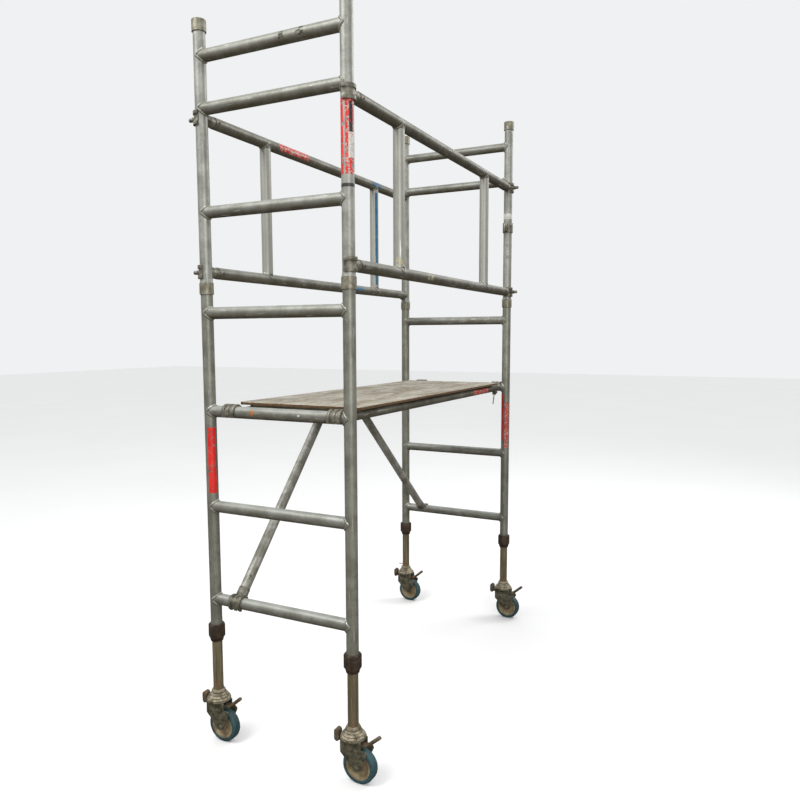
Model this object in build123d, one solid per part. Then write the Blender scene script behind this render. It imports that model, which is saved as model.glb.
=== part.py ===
from build123d import *
import os

# Mobile tower scaffold: two ladder end frames, two shorter end frames plugged in on top of them,
# a platform hooked over the rungs, two guardrail frames clipped to the posts, two struts under the
# platform, and four telescoping legs that end in braked swivel castors.
#
# Millimetres. +X runs along the tower from the front end to the rear end, +Y to the left side,
# +Z up. The floor is Z = 0, and the origin is the middle of the footprint. Left and right are
# those of a person who stands at the front end and looks towards the rear.

# ---------------------------------------------------------------- driving dimensions

TUBE_R = 48.3 / 2           # scaffold tube
TUBE_WALL = 2.6
RUNG_PITCH = 400.0
BOTTOM_RUNG_Z = 625.0
POST_GAP_X = 1840.0         # between post axes along the tower
POST_GAP_Y = 670.0          # between post axes across the tower

POST_FOOT_Z = 470.0
SOCKET_R = 28.5
SOCKET_BORE_R = 24.45
SOCKET_LENGTH = 46.0
SOCKET_GRIP = 12.0          # length of socket that is welded to the post below it
LOWER_SOCKET_RISE = 76.0    # from a frame's top rung to the bottom edge of its sockets
UPPER_SOCKET_RISE = 92.0
SOCKET_CHAMFER = 2.0
FRAME_PLAY = 0.5            # gap between a post's end and the post that stands on it
SHOULDER_LENGTH = 14.0      # cone above each plugged-in foot
SHOULDER_R = 26.5
BAND_CLAMP_Z = 2362.0
BAND_CLAMP_HEIGHT = 56.0

RAIL_Z = (1990.0, 2590.0)
UPRIGHT_X = 510.0
JAW_HEIGHT = 54.0
JAW_BORE_R = TUBE_R + 0.3
JAW_WEB_R = JAW_BORE_R + 4.0
JAW_RIB_R = JAW_BORE_R + 8.5
JAW_RIB_HEIGHT = 14.0
JAW_LIP = 5.0
JAW_NECK = 62.0             # from the post's axis to the end of the rail tube
JAW_NECK_R = 22.5
JAW_SPIGOT = 30.0
LOCK_BOSS_R = 10.5
LOCK_BOSS_REACH = 42.0
LOCK_PIN_R = 5.0
LOCK_KNOB_R = 8.0
LOCK_KNOB_LENGTH = 18.0

PLATFORM_Y = -29.0          # the platform hangs a little to the right of the frame's middle
BEAM_GAP = 500.0
BEAM_R = 19.0
BEAM_WALL = 2.5
BEAM_Z_BELOW_RUNG = 5.0
DECK_LENGTH = 1640.0
DECK_WIDTH = 580.0
DECK_THICKNESS = 12.0
DECK_CORNER_R = 8.0
DECK_ABOVE_BEAMS = 7.0
SCREW_R = 3.0
SCREW_HEAD_R = 6.0
SCREW_HEAD_HEIGHT = 3.0
SCREW_Y = (-220.0, -80.0, 80.0, 220.0)
CROSS_MEMBER_X = (-790.0, -395.0, 0.0, 395.0, 790.0)
CROSS_MEMBER_SIZE = 25.0
CROSS_MEMBER_WALL = 2.5

HOOK_BORE_R = TUBE_R + 0.4
HOOK_WEB_R = HOOK_BORE_R + 5.0
HOOK_RIB_R = HOOK_BORE_R + 9.0
HOOK_WIDTH = 58.0
HOOK_RIB = 12.0
HOOK_LIP = 20.0
CLAW_LIP = 8.0
HOOK_NECK = 66.0            # from the rung's axis to the end of the tube that the hook carries
SPIGOT = 34.0
WIND_LOCK_FROM_POST = 46.0
WIND_LOCK_BELOW_RUNG = 35.5
WIND_LOCK_R = 3.5
WIND_LOCK_EYE_R = 8.0
WIND_LOCK_THICKNESS = 10.0

STRUT_R = 22.0
STRUT_WALL = 2.5
STRUT_FOOT_Y = 215.0
STRUT_TOP_Y = 265.0
STRUT_TOP_X = 125.0
STRUT_TOP_Z = 1404.0
STRUT_EYE_R = 20.0
STRUT_EYE_THICKNESS = 12.0
STRUT_BOLT_R = 6.0
STRUT_TUBE_STOP = 26.0      # the tube ends this far short of its pivot

LEG_R = TUBE_R - TUBE_WALL - 0.08
LEG_WALL = 4.0
LEG_LENGTH = 560.0
LEG_FOOT_Z = 226.0
FLUTE_COUNT = 8
NUT_FLATS = 61.0
NUT_BOTTOM_Z = 442.0
NUT_TOP_Z = 517.0
NUT_SEAT_Z = 452.0

WHEEL_R = 70.0
WHEEL_WIDTH = 40.0
WHEEL_TRAIL = 30.0
RIM_R = 53.0
TYRE_SHOULDER_R = 9.0
AXLE_R = 6.0
RUN_FIT = 0.08              # radial clearance of a shaft in its bore
CROWN_Z = 176.0
CROWN_R = 52.0
CROWN_THICKNESS = 6.0
GREASE_HOLES = 8
FORK_GAP = 52.0
FORK_PLATE = 5.0
FORK_EYE_R = 14.0
FORK_SHOULDER_Y = -2.0
FORK_SHOULDER_WIDTH = 90.0
FORK_SHOULDER_DROP = 54.0
FORK_WING_Y = -63.0          # the wing guards the foot lever's root
FORK_WING_Z = 136.0
FORK_WING_R = 11.0
FORK_WING_ROOT = (-22.0, 124.0)
PANEL_WIDTH = 62.0
PANEL_HEIGHT = 26.0
PANEL_BELOW_CROWN = 22.0
PANEL_DEPTH = 1.5
BRAKE_PIVOT_Z = 158.0
BRAKE_PIVOT_R = 5.0
LEVER_R = 7.5
LEVER_FOOT_Y = -64.0
LEVER_RUN = 54.0
LEVER_RISE = 46.0
EAR_Y = 70.0
EAR_R = 11.0
EAR_Z = (159.0, 187.0)        # the two ends of the upright ear
EAR_HALF_WIDTH = 13.0
KINGPIN_R = 9.0

# ---------------------------------------------------------------- places worked out from them

# The brake levers reach further right of the posts than their ears reach left, so the posts
# stand left of the footprint's middle by half the difference.
LEVER_REACH = LEVER_RUN - LEVER_FOOT_Y + LEVER_R * LEVER_RISE / (LEVER_RUN ** 2 + LEVER_RISE ** 2) ** 0.5
FOOTPRINT_SHIFT_Y = (LEVER_REACH - EAR_Y - EAR_R) / 2

FRONT_X = -POST_GAP_X / 2
REAR_X = POST_GAP_X / 2
LEFT_Y = POST_GAP_Y / 2 + FOOTPRINT_SHIFT_Y
RIGHT_Y = -POST_GAP_Y / 2 + FOOTPRINT_SHIFT_Y
ENDS = {"front": FRONT_X, "rear": REAR_X}
SIDES = {"left": LEFT_Y, "right": RIGHT_Y}
OUTWARD_X = {"front": -1, "rear": 1}
OUTWARD_Y = {"left": 1, "right": -1}

PLATFORM_RUNG_Z = BOTTOM_RUNG_Z + 2 * RUNG_PITCH
LOWER_TOP_RUNG_Z = BOTTOM_RUNG_Z + 3 * RUNG_PITCH
LOWER_RUNGS = [BOTTOM_RUNG_Z + step * RUNG_PITCH for step in range(4)]
UPPER_RUNGS = {
    "front": [LOWER_TOP_RUNG_Z + step * RUNG_PITCH for step in (1, 2, 2.5)],
    "rear": [LOWER_TOP_RUNG_Z + step * RUNG_PITCH for step in (2, 2.5)],
}
LOWER_SOCKET_Z = LOWER_TOP_RUNG_Z + LOWER_SOCKET_RISE
LOWER_POST_TOP = LOWER_SOCKET_Z + SOCKET_GRIP
UPPER_POST_FOOT = LOWER_POST_TOP + FRAME_PLAY
UPPER_SOCKET_Z = UPPER_RUNGS["front"][-1] + UPPER_SOCKET_RISE
UPPER_POST_TOP = UPPER_SOCKET_Z + SOCKET_GRIP
BEAM_Z = PLATFORM_RUNG_Z - BEAM_Z_BELOW_RUNG
BEAM_Y = {side: PLATFORM_Y + FOOTPRINT_SHIFT_Y + out * BEAM_GAP / 2 for side, out in OUTWARD_Y.items()}
DECK_Z = BEAM_Z + BEAM_R + DECK_ABOVE_BEAMS
DECK_Y = PLATFORM_Y + FOOTPRINT_SHIFT_Y
WIND_LOCK_X = REAR_X - WIND_LOCK_FROM_POST
WIND_LOCK_Z = PLATFORM_RUNG_Z - WIND_LOCK_BELOW_RUNG

os.makedirs("parts", exist_ok=True)


def save(name, solids):
    """Write one node's list of solids to parts/name.step."""
    export_step(solids[0] if len(solids) == 1 else Compound(children=solids), f"parts/{name}.step")


def rod(start, end, radius):
    """A round bar between two points."""
    start = Vector(start)
    axis = Vector(end) - start
    return extrude(Plane(origin=start, z_dir=axis) * Circle(radius), axis.length)


def tube(start, end, radius, wall):
    """A round tube between two points."""
    return rod(start, end, radius) - rod(start, end, radius - wall)


def hexagon_prism(centre, radius, length):
    """A bolt head or nut along +Y, from its inner face's centre."""
    return extrude(Plane(origin=centre, z_dir=(0, 1, 0)) * RegularPolygon(radius, 6), length)


def turned(points, centre=(0, 0, 0)):
    """A body turned about a vertical axis, from (radius, height) points."""
    profile = make_face(Polyline([(radius, 0, height) for radius, height in points], close=True))
    return Pos(*centre) * revolve(profile, Axis.Z)


# ---------------------------------------------------------------- end frames

def post(x, y, foot_z, top_z, lock_holes):
    """One frame post, with the cross holes that guardrail lock pins drop into."""
    body = tube((x, y, foot_z), (x, y, top_z), TUBE_R, TUBE_WALL)
    for z, outward in lock_holes:
        body -= rod((x, y, z), (x, y + outward * 2 * TUBE_R, z), LOCK_PIN_R + 0.4)
    return body


def plugged_foot(x, y):
    """The cone that closes the socket where an upper post drops into it."""
    top_z = UPPER_POST_FOOT + SOCKET_LENGTH - SOCKET_GRIP
    cone = Pos(x, y, top_z + SHOULDER_LENGTH / 2) * Cone(SHOULDER_R, TUBE_R + 0.6, SHOULDER_LENGTH)
    return cone - rod((x, y, top_z - 1), (x, y, top_z + SHOULDER_LENGTH + 1), TUBE_R)


def frame_rung(x, z):
    """One rung between the two posts of an end, coped to fit round them."""
    rung = tube((x, RIGHT_Y, z), (x, LEFT_Y, z), TUBE_R, TUBE_WALL)
    for y in SIDES.values():
        rung -= rod((x, y, z - 2 * TUBE_R), (x, y, z + 2 * TUBE_R), TUBE_R)
    return rung


def socket(x, y, bottom_z):
    """The sleeve on a post's top end: tight on its post, an easy fit for the next frame's."""
    top_z = bottom_z + SOCKET_LENGTH
    return turned([
        (TUBE_R, bottom_z), (SOCKET_R, bottom_z), (SOCKET_R, top_z - SOCKET_CHAMFER),
        (SOCKET_R - SOCKET_CHAMFER, top_z), (SOCKET_BORE_R, top_z),
        (SOCKET_BORE_R, bottom_z + SOCKET_GRIP), (TUBE_R, bottom_z + SOCKET_GRIP),
    ], (x, y, 0))


def has_lock(end, side):
    """Each guardrail has its lock pins at one end; the two frames are the same part, turned round."""
    return (end, side) in (("front", "left"), ("rear", "right"))


def build_end_frames():
    """Write the posts, rungs and sockets of the four end frames."""
    lower_sockets = []
    upper_sockets = []
    for end, x in ENDS.items():
        lower_posts = []
        upper_posts = []
        for side, y in SIDES.items():
            holes = [(z, OUTWARD_Y[side]) for z in RAIL_Z if has_lock(end, side)]
            lower_posts.append(post(x, y, POST_FOOT_Z, LOWER_POST_TOP, []))
            upper_posts.append(post(x, y, UPPER_POST_FOOT, UPPER_POST_TOP, holes) + plugged_foot(x, y))
            lower_sockets.append(socket(x, y, LOWER_SOCKET_Z))
            upper_sockets.append(socket(x, y, UPPER_SOCKET_Z))
        save(f"{end}_lower_posts", lower_posts)
        save(f"{end}_upper_posts", upper_posts)
        save(f"{end}_lower_rungs", [frame_rung(x, z) for z in LOWER_RUNGS])
        save(f"{end}_upper_rungs", [frame_rung(x, z) for z in UPPER_RUNGS[end]])
    save("lower_post_sockets", lower_sockets)
    save("upper_post_sockets", upper_sockets)


def band_clamp():
    """A split band with a bolted ear, round the rear right upper post."""
    bore_r = TUBE_R + 0.1
    band_r = bore_r + 5
    ear = Box(22, 18, BAND_CLAMP_HEIGHT - 12)
    slit = Box(30, 3, BAND_CLAMP_HEIGHT + 2)
    band = Cylinder(band_r, BAND_CLAMP_HEIGHT) + Pos(-band_r - 4, 0, 0) * ear
    band -= Cylinder(bore_r, BAND_CLAMP_HEIGHT) + Pos(-band_r - 7, 0, 0) * slit
    bolt_x = -band_r - 8
    bolt_r = 4.0
    shank = rod((bolt_x, -14, 0), (bolt_x, 14, 0), bolt_r)
    bolt = shank + hexagon_prism((bolt_x, 9, 0), 7, 5) + hexagon_prism((bolt_x, -14, 0), 7, 5)
    return [Pos(REAR_X, RIGHT_Y, BAND_CLAMP_Z) * solid for solid in (band - shank, bolt)]


# ---------------------------------------------------------------- guardrails

def half_ring(radius, height, lip):
    """A U outline, closed towards +Y and open towards -Y, extruded about the XY plane."""
    outline = Circle(radius) & (Pos(0, radius / 2) * Rectangle(2 * radius, radius))
    outline += Pos(0, -lip / 2) * Rectangle(2 * radius, lip)
    return Pos(0, 0, -height / 2) * extrude(outline, height)


def guardrail_jaw(with_lock):
    """A jaw at the origin: it wraps the +Y side of a post and holds a rail that leaves along +X."""
    body = half_ring(JAW_WEB_R, JAW_HEIGHT, JAW_LIP)
    for step in (-1, 1):
        z = step * (JAW_HEIGHT - JAW_RIB_HEIGHT) / 2
        body += Pos(0, 0, z) * half_ring(JAW_RIB_R, JAW_RIB_HEIGHT, JAW_LIP)
    body += rod((0, 0, 0), (JAW_NECK, 0, 0), JAW_NECK_R)
    body += rod((JAW_NECK, 0, 0), (JAW_NECK + JAW_SPIGOT, 0, 0), TUBE_R - TUBE_WALL)
    if with_lock:
        body += rod((0, 0, 0), (0, LOCK_BOSS_REACH, 0), LOCK_BOSS_R)
        body -= rod((0, 0, 0), (0, LOCK_BOSS_REACH + 1, 0), LOCK_PIN_R + RUN_FIT)
    return body - rod((0, 0, -JAW_HEIGHT), (0, 0, JAW_HEIGHT), JAW_BORE_R)


def lock_pin():
    """A pull pin along +Y, with its tip through the post's wall and a round knob outside."""
    tip_y = TUBE_R - TUBE_WALL - 4
    knob_y = LOCK_BOSS_REACH + 1
    pin = rod((0, tip_y, 0), (0, knob_y, 0), LOCK_PIN_R)
    knob = rod((0, knob_y, 0), (0, knob_y + LOCK_KNOB_LENGTH, 0), LOCK_KNOB_R)
    return pin + fillet(knob.edges().filter_by(GeomType.CIRCLE), 2.5)


def placed_jaw(solid, end, side, z):
    """Turn a jaw drawn for the front left post to the post of the given end and side."""
    if end == "rear":
        solid = solid.mirror(Plane.YZ)
    if side == "right":
        solid = solid.mirror(Plane.XZ)
    return Pos(ENDS[end], SIDES[side], z) * solid


def guardrail_tubes(y):
    """The two rails of one guardrail and the two uprights welded between them."""
    reach = POST_GAP_X / 2 - JAW_NECK
    rails = [tube((-reach, y, z), (reach, y, z), TUBE_R, TUBE_WALL) for z in RAIL_Z]
    uprights = []
    for x in (-UPRIGHT_X, UPRIGHT_X):
        upright = tube((x, y, RAIL_Z[0]), (x, y, RAIL_Z[1]), TUBE_R, TUBE_WALL)
        for z in RAIL_Z:
            upright -= rod((-reach, y, z), (reach, y, z), TUBE_R)
        uprights.append(upright)
    return rails + uprights


def build_guardrails():
    """Write both guardrail frames, their jaws and their four lock pins."""
    levels = dict(zip(("lower", "upper"), RAIL_Z))
    for side, y in SIDES.items():
        save(f"{side}_guardrail_frame", guardrail_tubes(y))
        jaws = []
        for end in ENDS:
            for level, z in levels.items():
                jaws.append(placed_jaw(guardrail_jaw(has_lock(end, side)), end, side, z))
                if has_lock(end, side):
                    save(f"{side}_{level}_lock_pin", [placed_jaw(lock_pin(), end, side, z)])
        save(f"{side}_guardrail_jaws", jaws)


# ---------------------------------------------------------------- hooks and claws

def ribbed_hook(lip, neck_r, spigot_r, drop=0.0, lean=0.0):
    """A ribbed hook over a bar along Y at the origin: closed at the top, open below.

    Its neck leaves along +X, lower by drop, and ends in a spigot for the tube that it carries.
    It leans towards +Y by lean for each unit along X.
    """
    along = Vector(1, lean, 0).normalized()
    root = Vector(0, 0, -drop)
    upright = Plane(origin=(0, 0, 0), x_dir=(1, 0, 0), z_dir=(0, -1, 0))
    body = upright * half_ring(HOOK_WEB_R, HOOK_WIDTH, lip)
    for step in (-1, 0, 1):
        offset = step * (HOOK_WIDTH - HOOK_RIB) / 2
        body += upright * (Pos(0, 0, offset) * half_ring(HOOK_RIB_R, HOOK_RIB, lip))
    body += rod(root + along * (HOOK_BORE_R - 2), root + along * HOOK_NECK, neck_r)
    body += rod(root + along * HOOK_NECK, root + along * (HOOK_NECK + SPIGOT), spigot_r)
    bore = rod((0, -HOOK_WIDTH, 0), (0, HOOK_WIDTH, 0), HOOK_BORE_R)
    mouth = Pos(0, 0, -HOOK_BORE_R) * Box(2 * HOOK_BORE_R, 2 * HOOK_WIDTH, 2 * HOOK_BORE_R)
    return body - bore - mouth


# ---------------------------------------------------------------- platform

def platform_hook(end, y):
    """One platform hook over its rung, with the beam's spigot pointing inwards."""
    hook = ribbed_hook(HOOK_LIP, BEAM_R + 2, BEAM_R - BEAM_WALL, drop=BEAM_Z_BELOW_RUNG)
    if end == "rear":
        hook = hook.mirror(Plane.YZ)
    hook = Pos(ENDS[end], y, PLATFORM_RUNG_Z) * hook
    return hook + wind_lock_ears(y) if end == "rear" else hook


def build_platform():
    """Write the beams, cross members, deck, hooks and deck screws."""
    reach = POST_GAP_X / 2 - HOOK_NECK
    save("platform_side_beams",
         [tube((-reach, y, BEAM_Z), (reach, y, BEAM_Z), BEAM_R, BEAM_WALL) for y in BEAM_Y.values()])
    save("platform_hooks", [platform_hook(end, y) for end in ENDS for y in BEAM_Y.values()])
    save("platform_cross_members", [cross_member(x) for x in CROSS_MEMBER_X])
    deck = Pos(0, DECK_Y, DECK_Z + DECK_THICKNESS / 2) * Box(DECK_LENGTH, DECK_WIDTH, DECK_THICKNESS)
    deck = fillet(deck.edges().filter_by(Axis.Z), DECK_CORNER_R)
    screws = [deck_screw(x, DECK_Y + y) for x in CROSS_MEMBER_X for y in SCREW_Y]
    for screw in screws:
        deck -= screw
    save("platform_deck", [deck])
    save("deck_screws", screws)


def cross_member(x):
    """A square tube under the deck, coped over both side beams."""
    z = DECK_Z - CROSS_MEMBER_SIZE / 2
    hollow = CROSS_MEMBER_SIZE - 2 * CROSS_MEMBER_WALL
    member = Pos(x, DECK_Y, z) * Box(CROSS_MEMBER_SIZE, BEAM_GAP, CROSS_MEMBER_SIZE)
    member -= Pos(x, DECK_Y, z) * Box(hollow, BEAM_GAP, hollow)
    for y in BEAM_Y.values():
        member -= rod((x - CROSS_MEMBER_SIZE, y, BEAM_Z), (x + CROSS_MEMBER_SIZE, y, BEAM_Z), BEAM_R)
    return member.solids().sort_by(SortBy.VOLUME)[-1]


def deck_screw(x, y):
    """A countersunk screw through the deck, flush with its top."""
    top_z = DECK_Z + DECK_THICKNESS
    cone = turned([(0, top_z - SCREW_HEAD_HEIGHT), (SCREW_R, top_z - SCREW_HEAD_HEIGHT),
                   (SCREW_HEAD_R, top_z), (0, top_z)], (x, y, 0))
    return rod((x, y, DECK_Z), (x, y, top_z), SCREW_R) + cone


def wind_lock_rod(y, half_length, radius):
    """A round bar on the wind lock's pivot axis, centred on the given Y."""
    return rod((WIND_LOCK_X, y - half_length, WIND_LOCK_Z), (WIND_LOCK_X, y + half_length, WIND_LOCK_Z), radius)


def wind_lock_ears(y):
    """Two ears under a rear hook's neck, with the wind lock's pivot riveted through them."""
    thickness = 4.0
    offset = WIND_LOCK_THICKNESS / 2 + 1 + thickness / 2
    height = BEAM_Z - 12 - WIND_LOCK_Z
    ears = wind_lock_rod(y, offset + thickness, WIND_LOCK_R)
    for ear_y in (y - offset, y + offset):
        ears += wind_lock_rod(ear_y, thickness / 2, WIND_LOCK_EYE_R)
        ears += Pos(WIND_LOCK_X, ear_y, WIND_LOCK_Z + height / 2) * Box(2 * WIND_LOCK_EYE_R, thickness, height)
    return ears


def wind_lock(y):
    """A latch that swings under the rung, with a wire tail that hangs down."""
    thickness = WIND_LOCK_THICKNESS
    length = WIND_LOCK_FROM_POST - 2
    tongue_z = BEAM_Z - BEAM_R - 3 - thickness / 2
    body = wind_lock_rod(y, thickness / 2, WIND_LOCK_EYE_R)
    body += Pos(WIND_LOCK_X + length / 2, y, tongue_z) * Box(length, thickness, thickness)
    body += rod((WIND_LOCK_X, y, WIND_LOCK_Z), (WIND_LOCK_X - 22, y, WIND_LOCK_Z - 62), 3.0)
    return body - wind_lock_rod(y, thickness, WIND_LOCK_R + RUN_FIT)


# ---------------------------------------------------------------- struts

def strut_ends(end):
    """The strut's foot, on the bottom rung, and its pivot under the platform."""
    out = OUTWARD_X[end]
    foot = Vector(ENDS[end], STRUT_FOOT_Y + FOOTPRINT_SHIFT_Y, BOTTOM_RUNG_Z)
    top = Vector(out * STRUT_TOP_X, STRUT_TOP_Y + FOOTPRINT_SHIFT_Y, STRUT_TOP_Z)
    return foot, top


def strut_tube(end):
    """The strut's tube, from the end of its claw's neck to its pivot eye."""
    foot, top = strut_ends(end)
    along = (top - foot).normalized()
    return tube(foot + along * HOOK_NECK, top - along * STRUT_TUBE_STOP, STRUT_R, STRUT_WALL)


def strut_eye(end):
    """The flat eye at the strut's top, with the plug that fixes it in the tube."""
    foot, top = strut_ends(end)
    along = (top - foot).normalized()
    half = STRUT_EYE_THICKNESS / 2
    section = Plane(origin=top - along * STRUT_TUBE_STOP, x_dir=(0, 1, 0), z_dir=along)
    eye = rod(top - along * (STRUT_TUBE_STOP + SPIGOT), top - along * STRUT_TUBE_STOP, STRUT_R - STRUT_WALL)
    eye += extrude(section * Circle(STRUT_R), half)
    eye += extrude(section * Rectangle(STRUT_EYE_THICKNESS, 1.8 * STRUT_EYE_R), STRUT_TUBE_STOP)
    eye += rod(top - Vector(0, half, 0), top + Vector(0, half, 0), STRUT_EYE_R)
    return eye - rod(top - Vector(0, STRUT_R, 0), top + Vector(0, STRUT_R, 0), STRUT_BOLT_R + RUN_FIT)


def strut_claw(end):
    """The claw at the strut's foot: it wraps the rung's upper outer side and opens below."""
    foot, top = strut_ends(end)
    along = (top - foot).normalized()
    run = Vector(along.X, 0, along.Z)
    claw = ribbed_hook(CLAW_LIP, STRUT_R + 2, STRUT_R - STRUT_WALL, lean=along.Y / run.length)
    if end == "rear":
        claw = claw.mirror(Plane.YZ)
    angle = Vector(-OUTWARD_X[end], 0, 0).get_angle(run)
    return Pos(*foot) * claw.rotate(Axis.Y, OUTWARD_X[end] * angle)


def strut_bracket(end):
    """A fork bracket on the platform's left beam, with the strut's pivot bolt through it."""
    top = strut_ends(end)[1]
    beam_y = BEAM_Y["left"]
    plate = 4.0
    width = 32.0
    bridge_z = STRUT_EYE_R + plate
    cheek_y = STRUT_EYE_THICKNESS / 2 + 1 + plate / 2
    span = 2 * cheek_y + plate
    body = Pos(0, 0, bridge_z) * Box(width, span, plate)
    for y in (-cheek_y, cheek_y):
        body += Pos(0, y, bridge_z / 2) * Box(width, plate, bridge_z)
        body += rod((0, y - plate / 2, 0), (0, y + plate / 2, 0), width / 2)
    reach = top.Y - cheek_y - beam_y
    body += Pos(0, -cheek_y - reach / 2, 10) * Box(width, reach, 18)
    body = Pos(top) * body - rod((top.X - width, beam_y, BEAM_Z), (top.X + width, beam_y, BEAM_Z), BEAM_R)
    body = body.solids().sort_by(SortBy.VOLUME)[-1]
    end_y = span / 2 + 5
    bolt = rod(top - Vector(0, end_y, 0), top + Vector(0, end_y, 0), STRUT_BOLT_R)
    nut = hexagon_prism(top + Vector(0, span / 2, 0), 1.7 * STRUT_BOLT_R, 7)
    return [body - bolt, bolt + nut]


def build_struts():
    """Write both struts with their eyes, claws and brackets."""
    brackets = []
    for end in ENDS:
        save(f"{end}_strut", [strut_tube(end), strut_eye(end)])
        save(f"{end}_strut_claw", [strut_claw(end)])
        brackets += strut_bracket(end)
    save("strut_brackets", brackets)


# ---------------------------------------------------------------- legs

def leg():
    """The leg's fluted tube, standing on its swivel head."""
    top_z = LEG_FOOT_Z + LEG_LENGTH
    body = tube((0, 0, LEG_FOOT_Z), (0, 0, top_z), LEG_R, LEG_WALL)
    flute = rod((LEG_R + 0.6, 0, LEG_FOOT_Z + 30), (LEG_R + 0.6, 0, top_z), 2.4)
    for step in range(FLUTE_COUNT):
        body -= flute.rotate(Axis.Z, 360 / FLUTE_COUNT * (step + 0.5))
    return body


def leg_nut():
    """The hexagon nut that clamps the leg: wide bore round the post, narrow bore round the leg."""
    skirt_z = NUT_BOTTOM_Z + 16
    corner_r = NUT_FLATS / 3 ** 0.5
    hexagon = extrude(RegularPolygon(NUT_FLATS / 2, 6, major_radius=False), NUT_TOP_Z - skirt_z)
    rounding = turned([
        (0, skirt_z), (NUT_FLATS / 2, skirt_z), (corner_r, skirt_z + 4),
        (corner_r, NUT_TOP_Z - 4), (NUT_FLATS / 2, NUT_TOP_Z), (0, NUT_TOP_Z),
    ])
    body = (Pos(0, 0, skirt_z) * hexagon) & rounding
    body += turned([(0, NUT_BOTTOM_Z), (26, NUT_BOTTOM_Z), (NUT_FLATS / 2 - 0.5, skirt_z), (0, skirt_z)])
    body -= rod((0, 0, NUT_SEAT_Z), (0, 0, NUT_TOP_Z), TUBE_R + 0.35)
    return body - rod((0, 0, NUT_BOTTOM_Z), (0, 0, NUT_TOP_Z), LEG_R + 0.35)


def clamp_ring(x, y):
    """The split ring that the nut squeezes onto the leg, under the post's foot."""
    low = (0, 0, NUT_SEAT_Z + 0.3)
    high = (0, 0, POST_FOOT_Z - 0.3)
    ring = tube(low, high, TUBE_R - 0.1, TUBE_R - LEG_R - 0.2)
    return Pos(x, y, 0) * (ring - Pos(TUBE_R, 0, NUT_SEAT_Z) * Box(TUBE_R, 3, 80))


def swivel_head():
    """The upper ball race under the leg, with its stem up the leg and its kingpin down the crown."""
    race_z = CROWN_Z + CROWN_THICKNESS + 0.4
    washer_z = CROWN_Z - 0.4
    stem_r = LEG_R - LEG_WALL
    stem_z = LEG_FOOT_Z + 40
    body = turned([
        (0, washer_z - 6.6), (14, washer_z - 6.6), (14, washer_z), (KINGPIN_R, washer_z), (KINGPIN_R, race_z),
        (48, race_z), (50, race_z + 2), (50, race_z + 6), (45, race_z + 11), (43, race_z + 11),
        (43, race_z + 15), (37, race_z + 20), (36, race_z + 20), (36, race_z + 24), (31, race_z + 29),
        (30, race_z + 29), (30, race_z + 36), (26, LEG_FOOT_Z), (stem_r, LEG_FOOT_Z), (stem_r, stem_z), (0, stem_z),
    ])
    for step in range(GREASE_HOLES):
        hole = rod((47, 0, race_z + 4), (47, 0, race_z + 16), 2.5)
        body -= hole.rotate(Axis.Z, 360 / GREASE_HOLES * step)
    return body


# ---------------------------------------------------------------- castors

def fork_plate_outline():
    """A fork plate seen from outside, in (Y, Z): a shield that narrows to the axle, with a wing."""
    eye = Pos(-WHEEL_TRAIL, WHEEL_R) * Circle(FORK_EYE_R)
    shoulder_z = CROWN_Z - FORK_SHOULDER_DROP / 2
    shoulder = Pos(FORK_SHOULDER_Y, shoulder_z) * Rectangle(FORK_SHOULDER_WIDTH, FORK_SHOULDER_DROP)
    wing_tip = Pos(FORK_WING_Y, FORK_WING_Z) * Circle(FORK_WING_R)
    wing_root = Pos(*FORK_WING_ROOT) * Circle(FORK_WING_R)
    shield = make_hull(eye.edges() + shoulder.edges())
    return shield + make_hull(eye.edges() + wing_tip.edges() + wing_root.edges())


def fork():
    """The castor's fork: a round crown and two side plates, each with a shallow pressed panel."""
    bore_r = KINGPIN_R + RUN_FIT
    body = turned([(bore_r, CROWN_Z), (CROWN_R - 2, CROWN_Z), (CROWN_R, CROWN_Z + 2),
                   (CROWN_R, CROWN_Z + CROWN_THICKNESS), (bore_r, CROWN_Z + CROWN_THICKNESS)])
    inner = FORK_GAP / 2
    outer = inner + FORK_PLATE
    for side in (-1, 1):
        face = Plane(origin=(side * inner, 0, 0), x_dir=(0, 1, 0), z_dir=(1, 0, 0))
        body += extrude(face * fork_plate_outline(), side * FORK_PLATE)
        panel_z = CROWN_Z - PANEL_BELOW_CROWN
        body -= Pos(side * outer, FORK_SHOULDER_Y, panel_z) * Box(2 * PANEL_DEPTH, PANEL_WIDTH, PANEL_HEIGHT)
        body -= rod((side * inner, -WHEEL_TRAIL, WHEEL_R), (side * outer, -WHEEL_TRAIL, WHEEL_R), AXLE_R)
        body -= rod((side * inner, 0, BRAKE_PIVOT_Z), (side * outer, 0, BRAKE_PIVOT_Z), BRAKE_PIVOT_R + RUN_FIT)
    return body.solids().sort_by(SortBy.VOLUME)[-1]


def axle_bolt():
    """The wheel's axle: a hexagon bolt through both fork plates, with its nut."""
    outer = FORK_GAP / 2 + FORK_PLATE
    height = 7.0
    shank = rod((-outer, -WHEEL_TRAIL, WHEEL_R), (outer + height + 2, -WHEEL_TRAIL, WHEEL_R), AXLE_R)
    hexagon = RegularPolygon(10.5, 6)
    head = extrude(Plane(origin=(-outer - height, -WHEEL_TRAIL, WHEEL_R), z_dir=(1, 0, 0)) * hexagon, height)
    nut = extrude(Plane(origin=(outer, -WHEEL_TRAIL, WHEEL_R), z_dir=(1, 0, 0)) * hexagon, height)
    return [shank + head, nut - shank]


def turned_wheel(points):
    """A body turned about the axle, from (radius, distance from the wheel's middle) points."""
    profile = make_face(Polyline([(along, 0, radius) for radius, along in points], close=True))
    return Pos(0, -WHEEL_TRAIL, WHEEL_R) * revolve(profile, Axis.X)


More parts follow.
